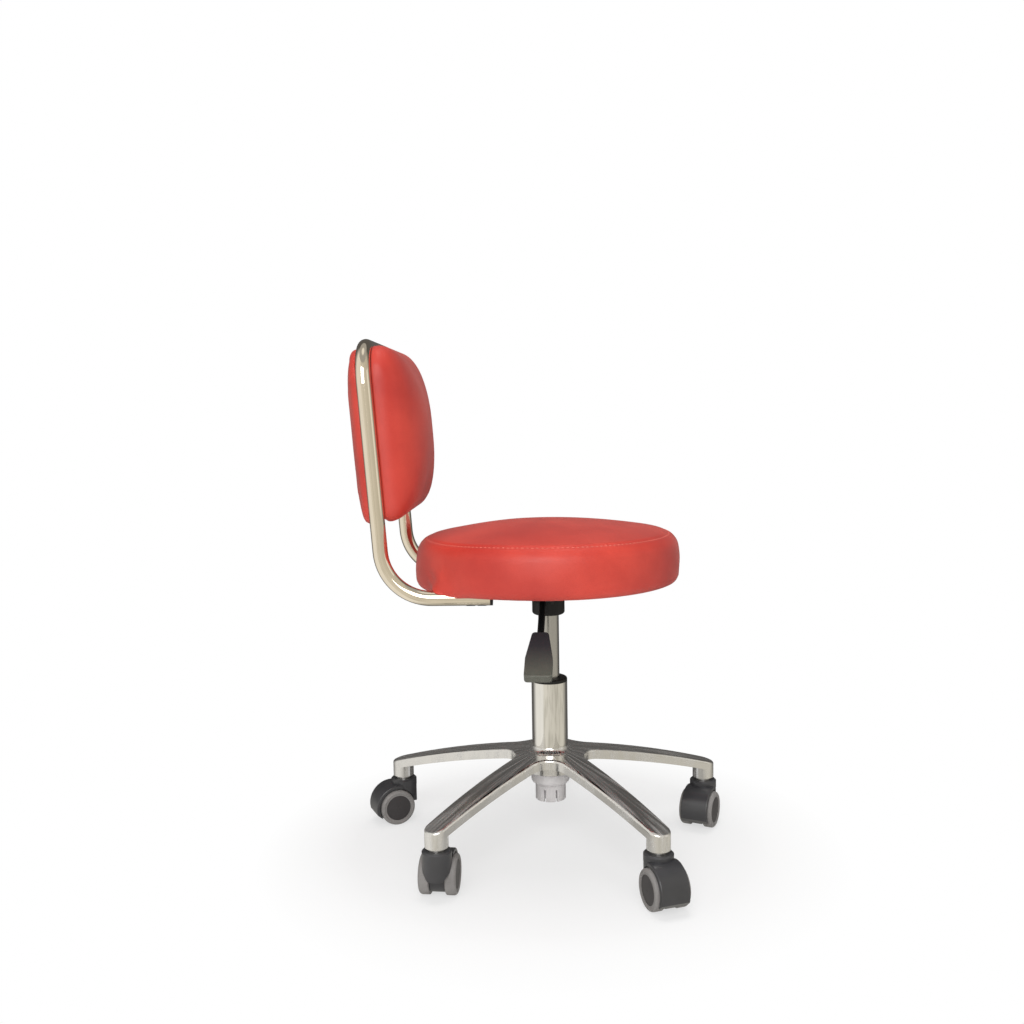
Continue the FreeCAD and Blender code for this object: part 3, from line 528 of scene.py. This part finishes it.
def lever_plastic(name):
    """Charcoal plastic, paler towards the lower end of the lever."""
    def height(share):
        return lever_start.z - math.sin(lever_slope) * (paddle_start + share * paddle_length)
    made = Finish(name, {"IOR": 1.46, "Specular IOR Level": 0.4})
    speck = made.cloud(1500.0, detail=2.0)
    uneven = made.cloud(90.0)
    # Goes over from the darker tone near the rod to a paler one at the paddle's lower end
    towards_lower_end = made.between(made.axis("Z"), 1.0, 0.0, height(0.8), height(0.2))
    tone = made.mixed(towards_lower_end, paint(64, 60, 65), paint(106, 106, 97))
    made.feed("Base Color", made.mixed(made.between(uneven * 0.5 + speck * 0.5, 0.0, 0.3, 0.35, 0.7),
                                       tone, paint(40, 39, 39)))
    made.feed("Roughness", made.between(uneven, 0.42, 0.56, 0.3, 0.7))
    made.bump(speck, 0.00006, 0.5)
    return made


# Moulded, painted and thread finishes: colour, roughness, grains per metre, depth of the grain and gloss
moulded_finishes = {
    "black_plastic": (paint(22, 21, 21), 0.45, 1400.0, 0.00004, 0.35),
    "caster_plastic": (paint(54, 54, 57), 0.34, 1500.0, 0.00005, 0.8),
    "wheel_plastic": (paint(62, 59, 60), 0.45, 1500.0, 0.00004, 0.4),
    "grey_tyre": (paint(138, 135, 133), 0.55, 900.0, 0.00004, 0.4),
    "grey_plastic": (paint(210, 207, 207), 0.40, 1200.0, 0.00003, 0.5),
    "bump_rubber": (paint(30, 30, 30), 0.7, 900.0, 0.00008, 0.5),
    "black_steel": (paint(30, 30, 31), 0.40, 700.0, 0.00006, 0.4),
    "stitch_thread": (paint(230, 132, 118), 0.7, 2600.0, 0.0002, 0.5),
}

# Bare and plated metals: colour, roughness, how much rougher the smears are, and depth of the ripples
metal_finishes = {
    "chrome": ((0.80, 0.785, 0.75, 1.0), 0.03, 0.05, 0.00003),
    "steel": ((0.62, 0.61, 0.60, 1.0), 0.22, 0.15, 0.00003),
    # The back frame's chrome is tinted warm yellow: a painted reflection of the cream surround, put in its
    # colour
    "frame_chrome_with_painted_reflection": ((0.80, 0.72, 0.59, 1.0), 0.05, 0.06, 0.00003),
    "lift_steel": ((0.46, 0.45, 0.43, 1.0), 0.20, 0.06, 0.00002),
}

finishes = {
    "red_vinyl": vinyl("red_vinyl", paint(182, 40, 30), paint(214, 66, 50)),
    "polished_aluminium": cast_metal("polished_aluminium", (0.70, 0.69, 0.675, 1.0)),
    "charcoal_plastic": lever_plastic("charcoal_plastic"),
    "plywood": layered_wood("plywood"),
    "plywood_with_dust_cloth": layered_wood("plywood_with_dust_cloth", board_bottom + dust_cloth_rise),
}
for finish_name, row in moulded_finishes.items():
    finishes[finish_name] = moulded(finish_name, *row)
for finish_name, row in metal_finishes.items():
    finishes[finish_name] = metal(finish_name, *row)


def dress(thing, finish):
    """Gives a piece one finish all over."""
    thing.data.materials.clear()
    thing.data.materials.append(finish.material)


for part in frame["record"]["subparts"]:
    dress(nodes[part["node"]], finishes[part["material_slot"]])
dress(nodes["seat_board"], finishes["plywood_with_dust_cloth"])
dress(nodes["gas_cylinder"], finishes["lift_steel"])
# The back frame gets the chrome whose warm tint is a painted reflection
dress(nodes["back_frame"], finishes["frame_chrome_with_painted_reflection"])


# Camera, light and floor

def photo_camera():
    """The camera at the photo's place, with its slight roll."""
    level_up = camera_level_right.cross(camera_forward)
    right = (camera_level_right - camera_roll * level_up).normalized()
    up = (level_up + camera_roll * camera_level_right).normalized()
    bpy.ops.object.camera_add()
    camera = bpy.context.object
    camera.matrix_world = Matrix.Translation(camera_place) @ axes(right, up, -camera_forward)
    camera.data.sensor_width = sensor_width
    camera.data.lens = sensor_width * focal_pixels / picture_pixels
    camera.data.clip_start = 0.05
    camera.data.clip_end = 60.0
    scene.camera = camera


def soft_box(name, place, aim, width, height, power, mirrored=True):
    """A rectangular lamp, which polished pieces mirror unless that is turned off."""
    bpy.ops.object.light_add(type="AREA", location=place)
    lamp = bpy.context.object
    lamp.name = name
    lamp.rotation_euler = (Vector(aim) - Vector(place)).to_track_quat("-Z", "Y").to_euler()
    lamp.data.shape = "RECTANGLE"
    lamp.data.size = width
    lamp.data.size_y = height
    lamp.data.energy = power
    lamp.visible_glossy = mirrored


def white_room():
    """White to the eye and in reflections, and a plain soft level as light."""
    scene.world = bpy.data.worlds.new("white_room")
    scene.world.use_nodes = True
    room = Nodes(scene.world.node_tree)
    white = room.node("ShaderNodeBackground", inputs={"Color": (1.0, 1.0, 1.0, 1.0), "Strength": 1.0})
    light = room.node("ShaderNodeBackground", inputs={"Color": (1.0, 0.99, 0.97, 1.0), "Strength": 0.38})
    room.show("OUTPUT_WORLD", room.node("ShaderNodeMixShader", inputs={0: room.seen(), 1: light, 2: white}))


def white_floor():
    """A pale floor that keeps the soft shadow and goes over to plain white further out."""
    floor = primitive("floor", bpy.ops.mesh.primitive_plane_add, size=floor_size,
                      location=(0.0, 0.0, -floor_drop))
    made = Finish("floor_white", {"Base Color": (0.9, 0.9, 0.9, 1.0), "Roughness": 0.9,
                                  "Specular IOR Level": 0.0})
    near = made.between(made.reach(), shadow_share, 0.0, *shadow_range)
    white = made.node("ShaderNodeEmission", inputs={"Color": (1.0, 1.0, 1.0, 1.0), "Strength": 1.0})
    pale = Value(made, made.shader.outputs[0])
    made.show("OUTPUT_MATERIAL", made.node("ShaderNodeMixShader", inputs={
        0: made.seen() * (1.0 - near), 1: pale, 2: white}))
    dress(floor, made)


def surround_glow():
    """Tones of the surround: cream before the stool, dark behind it, and a ceiling bright in the middle."""
    right_cream = (0.72, 0.685, 0.60, 1.0)
    left_cream = (0.82, 0.785, 0.70, 1.0)
    streak_brown = (0.34, 0.32, 0.26, 1.0)
    left_glow = (1.0, 0.98, 0.93, 1.0)
    floor_near_stool = (0.50, 0.485, 0.45, 1.0)
    dark_back = (0.12, 0.115, 0.11, 1.0)
    ceiling_middle = (0.98, 0.95, 0.90, 1.0)
    ceiling_outside = (0.45, 0.44, 0.42, 1.0)
    made = Finish("surround_glow", {"Base Color": (0.0, 0.0, 0.0, 1.0), "Roughness": 1.0,
                                    "Specular IOR Level": 0.0, "Emission Strength": 1.0})
    reach = made.reach()
    behind = made.axis("X") / reach
    left = made.axis("Y") / reach
    streaks = made.cloud(5.0, detail=3.0, stretch=(1.0, 1.0, 0.03))
    front = made.mixed(made.between(left, 0.0, 1.0, -0.55, 0.35), right_cream, left_cream)
    front = made.mixed(made.between(streaks, 0.0, 0.45, 0.46, 0.64), front, streak_brown)
    front = made.mixed(made.between(left, 0.0, 0.8, 0.55, 0.72), front, left_glow)
    front = made.mixed(made.between(reach, 1.0, 0.0, 0.22, 0.36), front, floor_near_stool)
    wall = made.mixed(made.between(behind, 0.0, 1.0, 0.05, 0.6), front, dark_back)
    ceiling = made.mixed(made.between(reach, 0.0, 1.0, 0.9, 1.3), ceiling_middle, ceiling_outside)
    overhead = made.between(made.axis("Z"), 0.0, 1.0, *ceiling_range)
    made.feed("Emission Color", made.mixed(overhead, wall, ceiling))
    return made


def studio_surround():
    """A round floor, wall and ceiling that only show in polished surfaces."""
    made = primitive("studio_surround", bpy.ops.mesh.primitive_circle_add, vertices=96,
                     radius=surround_inner, location=(0.0, 0.0, surround_lift))
    edit(made)
    bpy.ops.mesh.extrude_edges_move()
    bpy.ops.transform.resize(value=(surround_spread, surround_spread, 1.0), center_override=(0.0, 0.0, 0.0))
    bpy.ops.mesh.extrude_edges_move()
    bpy.ops.transform.translate(value=(0.0, 0.0, surround_height))
    bpy.ops.mesh.extrude_edges_move()
    bpy.ops.transform.resize(value=(ceiling_inner_share, ceiling_inner_share, 1.0),
                             center_override=(0.0, 0.0, 0.0))
    done()
    dress(made, surround_glow())
    made.visible_camera = False
    made.visible_diffuse = False
    made.visible_shadow = False
    made.visible_transmission = False
    made.visible_volume_scatter = False


photo_camera()
white_room()
white_floor()
soft_box("front_soft_box", place=(-2.5, 0.2, 1.7), aim=(0.0, 0.0, 0.4), width=1.8, height=1.8, power=44.0)
soft_box("top_soft_box", place=(0.0, 0.0, 2.6), aim=(0.0, 0.0, 0.3), width=1.2, height=1.2, power=24.0,
         mirrored=False)
soft_box("right_soft_box", place=(-0.6, -2.4, 1.2), aim=(0.0, 0.0, 0.4), width=1.2, height=1.6, power=2.0)
studio_surround()

scene.view_settings.view_transform = "Standard"


# The frame's tube, for the covers that lie against it

def side_of(point):
    """1 for the half of the stool at +X, and -1 for the other half."""
    return 1.0 if point.x >= 0.0 else -1.0


def on_back(x, along, ahead):
    """A point on the leaning back: across, up along the uprights and ahead of their plane."""
    return Vector((x, bend_end_y + along * math.sin(back_lean) - ahead * math.cos(back_lean),
                   bend_end_z + along * math.cos(back_lean) + ahead * math.sin(back_lean)))


def along_back(point):
    """How far up the uprights a point is."""
    back = point.y - bend_end_y
    up = point.z - bend_end_z
    return back * math.sin(back_lean) + up * math.cos(back_lean)


def ahead_of_back(point):
    """How far ahead of the uprights' plane a point is."""
    back = point.y - bend_end_y
    up = point.z - bend_end_z
    return up * math.sin(back_lean) - back * math.cos(back_lean)


def tube_centre(point):
    """The point of the tube's centre line that is nearest to a point."""
    side = side_of(point)
    level = Vector((side * hoop_half_width, min(bend_start, max(tube_front, point.y)), tube_height))
    found = [level]
    bend_middle = Vector((side * hoop_half_width, bend_start, tube_height + bend_radius))
    angle = math.atan2(point.z - bend_middle.z, point.y - bend_middle.y)
    if -math.pi / 2 < angle < -back_lean:
        found.append(bend_middle + bend_radius * Vector((0.0, math.cos(angle), math.sin(angle))))
    along = along_back(point)
    straight = hoop_length - hoop_corner
    inner = hoop_half_width - hoop_corner
    across = abs(point.x)
    if 0.0 < along < straight:
        found.append(on_back(side * hoop_half_width, along, 0.0))
    elif along >= straight and across > inner:
        out = Vector((across - inner, along - straight)).normalized() * hoop_corner
        found.append(on_back(side * (inner + out.x), straight + out.y, 0.0))
    elif along >= straight:
        found.append(on_back(point.x, hoop_length, 0.0))
    return min(found, key=lambda place: (place - point).length)


def lay_on_tube(cover, reach):
    """Draws what is within reach of the tube on to it, and pushes out what is inside it."""
    for vertex in cover.data.vertices:
        centre = tube_centre(vertex.co)
        out = vertex.co - centre
        depth = out.length - tube_radius
        if depth < reach:
            kept = cover_gap + max(0.0, depth - cover_gap) * rise(0.0, reach, depth)
            vertex.co = centre + out.normalized() * (tube_radius + kept)


# Padded covers

def blow_up(cover, cap, held):
    """Blows a cover up as cloth where it isn't held. No point moves further than the cap."""
    before = [vertex.co.copy() for vertex in cover.data.vertices]
    group = cover.vertex_groups.new(name="held")
    for vertex in cover.data.vertices:
        if held(vertex.co):
            group.add([vertex.index], 1.0, "REPLACE")
    cloth = cover.modifiers.new("Cloth", "CLOTH")
    cloth.settings.quality = 6
    cloth.settings.mass = 0.3
    cloth.settings.tension_stiffness = 20.0
    cloth.settings.compression_stiffness = 20.0
    cloth.settings.shear_stiffness = 10.0
    cloth.settings.bending_stiffness = 1.0
    cloth.settings.use_pressure = True
    cloth.settings.uniform_pressure_force = cover_pressure
    cloth.settings.effector_weights.gravity = 0.0
    cloth.settings.vertex_group_mass = group.name
    cloth.collision_settings.use_collision = False
    cloth.point_cache.frame_start = 1
    cloth.point_cache.frame_end = cloth_steps
    for step in range(1, cloth_steps + 1):
        scene.frame_set(step)
    only(cover)
    bpy.ops.object.modifier_apply(modifier=cloth.name)
    scene.frame_set(1)
    for vertex, start in zip(cover.data.vertices, before):
        move = vertex.co - start
        if move.length > 0.0:
            vertex.co = start + move * (cap * math.tanh(move.length / cap) / move.length)
    cover.vertex_groups.clear()


def stuffed(name, node, voxel, shrink, cap, held, fillers=()):
    """A cover from a solid: remeshed, drawn in, blown up as cloth where it isn't held, and smoothed."""
    cover = bpy.data.objects.new(name, nodes[node].data.copy())
    scene.collection.objects.link(cover)
    if fillers:
        cover = joined(name, [cover, *fillers])
    edit(cover)
    bpy.ops.mesh.remove_doubles(threshold=0.00002)
    done()
    cover.data.remesh_voxel_size = voxel
    bpy.ops.object.voxel_remesh()
    edit(cover)
    bpy.ops.transform.shrink_fatten(value=-shrink)
    done()
    blow_up(cover, cap, held)
    apply_modifier(cover, "SMOOTH", factor=0.5, iterations=3)
    apply_modifier(cover, "SUBSURF", levels=1, render_levels=1)
    return cover


def finish_cover(cover, node):
    """Gives a cover its looks, hides the solid it stands for and hangs it on the seat's body."""
    smooth(cover)
    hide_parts(node)
    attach(cover, "seat")
    dress(cover, finishes["red_vinyl"])


def near_tube(point, distance):
    """Whether a point is within a distance of the tube's surface."""
    return (tube_centre(point) - point).length < tube_radius + distance


def seat_held(point):
    """The skirt's foot, what lies on the board or the tubes, and the seam."""
    reach = math.hypot(point.x, point.y)
    on_board = reach < board_radius + held_past_board and point.z < board_top + held_over_board
    on_tube = point.y > frame_from and near_tube(point, seat_held_at_tube)
    on_seam = abs(reach - seat_seam_radius) < held_at_seam and point.z > seam_lowest
    return on_board or on_tube or on_seam or point.z < board_bottom


def from_line(point, start, end):
    """How far a point is from the straight line between two others."""
    run = end - start
    share = min(1.0, max(0.0, (point - start).dot(run) / run.dot(run)))
    return (point - start - run * share).length


def on_side_of(point, spot):
    """A spot given for the half at +X, in the half where the point is."""
    return Vector((side_of(point) * spot[0], spot[1], spot[2]))


def around(point, spot, width):
    """1 at a spot given for the half at +X or at its mirror image, falling off softly over a width."""
    return bell((point - on_side_of(point, spot)).length, width)


def shape_seat(cover):
    """The seam's valley, the softer rear edge, and the folds where the cover laps over the tubes."""
    for vertex in cover.data.vertices:
        place = vertex.co
        reach = math.hypot(place.x, place.y)
        if reach < seat_middle:
            continue
        outward = Vector((place.x / reach, place.y / reach, 0.0))
        upper = rise(*upper_range, place.z)
        skirt = rise(*skirt_range, reach)
        down = upper * seam_depth * bell(reach - seat_seam_radius, seam_width)
        down += rear_sag * max(upper, skirt) * rise(*sag_range, place.y)
        out = rear_bulge * rise(*bulge_heights, place.z) * skirt * rise(*bulge_range, place.y)
        for lift, height, width in tuck_ridges:
            shift = Vector((0.0, 0.0, lift))
            start = on_side_of(place, tuck_start) + shift
            end = on_side_of(place, tuck_end) + shift
            out += skirt * height * bell(from_line(place, start, end), width)
        out += fold_height * skirt * around(place, fold_place, fold_width)
        down += droop_depth * skirt * around(place, droop_place, droop_width)
        lap = skirt * around(place, lap_place, lap_width)
        out += lap_height * lap
        down += lap_drop * lap
        pucker = pucker_depth * noise.noise(Vector((
            place.x * puckers_across, place.y * puckers_across, place.z * puckers_up)))
        vertex.co = place + outward * (out + pucker * (1 - upper)) - Vector((0.0, 0.0, down))


seat_cover = stuffed("seat_cover", "seat_cushion", voxel=0.0045, shrink=0.0015, cap=0.0028, held=seat_held)
shape_seat(seat_cover)
lay_on_tube(seat_cover, seat_tube_reach)
finish_cover(seat_cover, "seat_cushion")


def pad_held(point):
    """What lies on the back board or on the tube."""
    return abs(ahead_of_back(point)) < pad_held_at_board or near_tube(point, pad_held_at_tube)


def tab_fillers():
    """Blocks that let the rear cover close over the frame's tabs."""
    foot = on_back(0, 0, 0)
    lean = axes(on_back(1, 0, 0) - foot, on_back(0, 1, 0) - foot, on_back(0, 0, 1) - foot)
    size = (tab_fill_outer - tab_fill_inner, 2 * tab_fill_half_height, tab_fill_depth - tab_fill_front)
    blocks = []
    for side in (-1.0, 1.0):
        for along in tab_rows:
            block = primitive("tab_filler", bpy.ops.mesh.primitive_cube_add, size=1.0, scale=size)
            middle = on_back(side * (tab_fill_inner + tab_fill_outer) / 2, along,
                             -(tab_fill_front + tab_fill_depth) / 2)
            settle(block, Matrix.Translation(middle) @ lean)
            blocks.append(block)
    return blocks


def swell_back(cover):
    """Rounds the rear pad out behind the tube."""
    backwards = Vector((0.0, math.cos(back_lean), -math.sin(back_lean)))
    for vertex in cover.data.vertices:
        vertex.co += backwards * (rear_swell * rise(*swell_range, -ahead_of_back(vertex.co)))


front_cover = stuffed("backrest_front_cover", "backrest_front_pad", voxel=0.0045, shrink=0.001, cap=0.002,
                      held=pad_held)
lay_on_tube(front_cover, pad_tube_reach)
finish_cover(front_cover, "backrest_front_pad")
rear_cover = stuffed("backrest_rear_cover", "backrest_rear_pad", voxel=0.004, shrink=0.0008, cap=0.0015,
                     held=pad_held, fillers=tab_fillers())
swell_back(rear_cover)
lay_on_tube(rear_cover, pad_tube_reach)
finish_cover(rear_cover, "backrest_rear_pad")


# Seat seam, the cover's hem under the board, and the frame's hole plugs

def seat_stitches():
    """Thread stitches along the seam, each lying on the cover."""
    first = primitive("stitch", bpy.ops.mesh.primitive_uv_sphere_add, segments=8, ring_count=5, radius=0.5)
    edit(first)
    bpy.ops.transform.resize(value=(stitch_thickness, stitch_length, stitch_thickness))
    done()
    radius = seat_seam_radius + stitch_offset
    places = []
    for index in range(stitch_count):
        angle = 2 * math.pi * index / stitch_count
        above = Vector((radius * math.cos(angle), radius * math.sin(angle), above_seat))
        place, normal = seat_cover.ray_cast(above, Vector((0.0, 0.0, -1.0)))[1:3]
        tangent = Vector((-math.sin(angle), math.cos(angle), 0.0))
        tangent = (tangent - normal * tangent.dot(normal)).normalized()
        places.append(Matrix.Translation(place) @ axes(tangent.cross(normal), tangent, normal))
    made = repeated("seat_seam_stitches", first, places)
    smooth(made)
    dress(made, finishes["stitch_thread"])
    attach(made, "seat")


def clear_of_frame(x, y):
    """Whether a place under the board is clear of the two tubes."""
    return y < frame_from or abs(abs(x) - hoop_half_width) > hem_clear_of_tube


def seat_hem():
    """The cover's edge, turned in under the board, with a gap at each tube."""
    outer = board_radius - hem_inset
    ring = hem_width / hem_rings
    made = primitive("seat_cover_hem", bpy.ops.mesh.primitive_circle_add, vertices=hem_sides, radius=outer,
                     location=(0.0, 0.0, board_bottom - hem_drop))
    edit(made)
    for step in range(hem_rings):
        share = 1 - ring / (outer - step * ring)
        bpy.ops.mesh.extrude_edges_move()
        bpy.ops.transform.resize(value=(share, share, 1.0), center_override=(0.0, 0.0, board_bottom))
    pick(made, "FACE", lambda face: not clear_of_frame(face.center.x, face.center.y))
    bpy.ops.mesh.delete(type="FACE")
    done()
    for vertex in made.data.vertices:
        reach = math.hypot(vertex.co.x, vertex.co.y)
        inner = rise(board_radius - hem_flat, board_radius - hem_width, reach)
        angle = math.atan2(vertex.co.y, vertex.co.x)
        wave = math.sin(hem_ripple_count * angle + 3 * noise.noise(vertex.co * 40.0))
        vertex.co.z -= hem_ripple * inner * (0.5 + 0.5 * wave)
    face_outward(made)
    apply_modifier(made, "SOLIDIFY", thickness=hem_thickness, offset=0.0)
    smooth(made)
    dress(made, finishes["red_vinyl"])
    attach(made, "seat")


def seat_staples():
    """Wire staples that hold the hem to the board."""
    first = primitive("staple", bpy.ops.mesh.primitive_cube_add, size=1.0)
    edit(first)
    bpy.ops.transform.resize(value=(staple_wire, staple_length, staple_wire))
    bpy.ops.mesh.bevel(offset=staple_wire * staple_edge, segments=1)
    done()
    radius = board_radius - staple_row * hem_width
    places = []
    for index in range(staple_count):
        angle = 2 * math.pi * (index + 0.5) / staple_count
        x = radius * math.cos(angle)
        y = radius * math.sin(angle)
        if clear_of_frame(x, y):
            turn = angle + staple_turn * noise.noise(Vector((index, 0.4, 0.0)))
            middle = Vector((x, y, board_bottom - staple_drop))
            places.append(Matrix.Translation(middle) @ Matrix.Rotation(turn, 4, "Z"))
    made = repeated("seat_hem_staples", first, places)
    dress(made, finishes["steel"])
    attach(made, "seat")


def frame_plugs():
    """Press-in plugs that close the bolt holes under the tubes, flush with the tube."""
    plugs = []
    for x in (-hoop_half_width, hoop_half_width):
        for y in frame_bolt_rows:
            plug = primitive("plug", bpy.ops.mesh.primitive_circle_add, vertices=plug_sides,
                             radius=plug_radius, fill_type="NGON",
                             location=(x, y, tube_height - tube_radius))
            edit(plug)
            for step in range(plug_rings):
                bpy.ops.mesh.inset(thickness=plug_radius / (plug_rings + 1))
            done()
            for vertex in plug.data.vertices:
                vertex.co.z = tube_height - math.sqrt(tube_radius ** 2 - (vertex.co.x - x) ** 2)
            face_outward(plug)
            apply_modifier(plug, "SOLIDIFY", thickness=plug_thickness, offset=0.0)
            plugs.append(plug)
    made = joined("frame_hole_plugs", plugs)
    smooth(made, sharp_angle)
    dress(made, finishes["black_plastic"])
    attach(made, "seat")


seat_stitches()
seat_hem()
seat_staples()
frame_plugs()


# Lever paddle

def corner_edge(thing, edge):
    """Whether an edge is one of the four upright corners of the paddle's outline."""
    first, second = [thing.data.vertices[index].co for index in edge.vertices]
    at_end = first.z < near_end or first.z > paddle_length - near_end
    return at_end and abs(first.x - second.x) < same_place and abs(first.z - second.z) < same_place


def lever_paddle():
    """The moulded grip: narrow at the rod, flared, with rounded edges and a shallow thumb panel."""
    across = Vector((math.sin(lever_turn), math.cos(lever_turn), 0.0))
    along = Vector((-math.cos(lever_slope) * math.cos(lever_turn),
                    math.cos(lever_slope) * math.sin(lever_turn), -math.sin(lever_slope)))
    up = across.cross(along)
    made = primitive("lever_paddle", bpy.ops.mesh.primitive_cube_add, size=1.0,
                     location=(0.0, 0.0, paddle_length / 2),
                     scale=(paddle_width, paddle_thickness, paddle_length))
    edit(made)
    bpy.ops.mesh.bisect(plane_co=(0.0, 0.0, paddle_flare), plane_no=(0.0, 0.0, 1.0))
    pick(made, "VERT", lambda vertex: vertex.co.z < near_end)
    bpy.ops.transform.resize(value=(paddle_width_start / paddle_width, 1.0, 1.0),
                             center_override=(0.0, 0.0, 0.0))
    pick(made, "EDGE", lambda edge: corner_edge(made, edge))
    bpy.ops.mesh.bevel(offset=paddle_corner, segments=4, affect="EDGES")
    pick(made, "FACE", lambda face: face.normal.y > 0.9)
    bpy.ops.mesh.inset(thickness=thumb_panel_margin, depth=0.0)
    bpy.ops.transform.translate(value=(0.0, -thumb_panel_depth, 0.0))
    done()
    apply_modifier(made, "BEVEL", width=paddle_edge, segments=3, limit_method="ANGLE",
                   angle_limit=bevel_angle)
    apply_modifier(made, "SUBSURF", levels=2, render_levels=2, subdivision_type="SIMPLE")
    settle(made, Matrix.Translation(lever_start + along * paddle_start) @ axes(-across, up, along))
    smooth(made, sharp_angle)
    dress(made, finishes["charcoal_plastic"])
    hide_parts("lever_handle")
    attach(made, "lever")


lever_paddle()
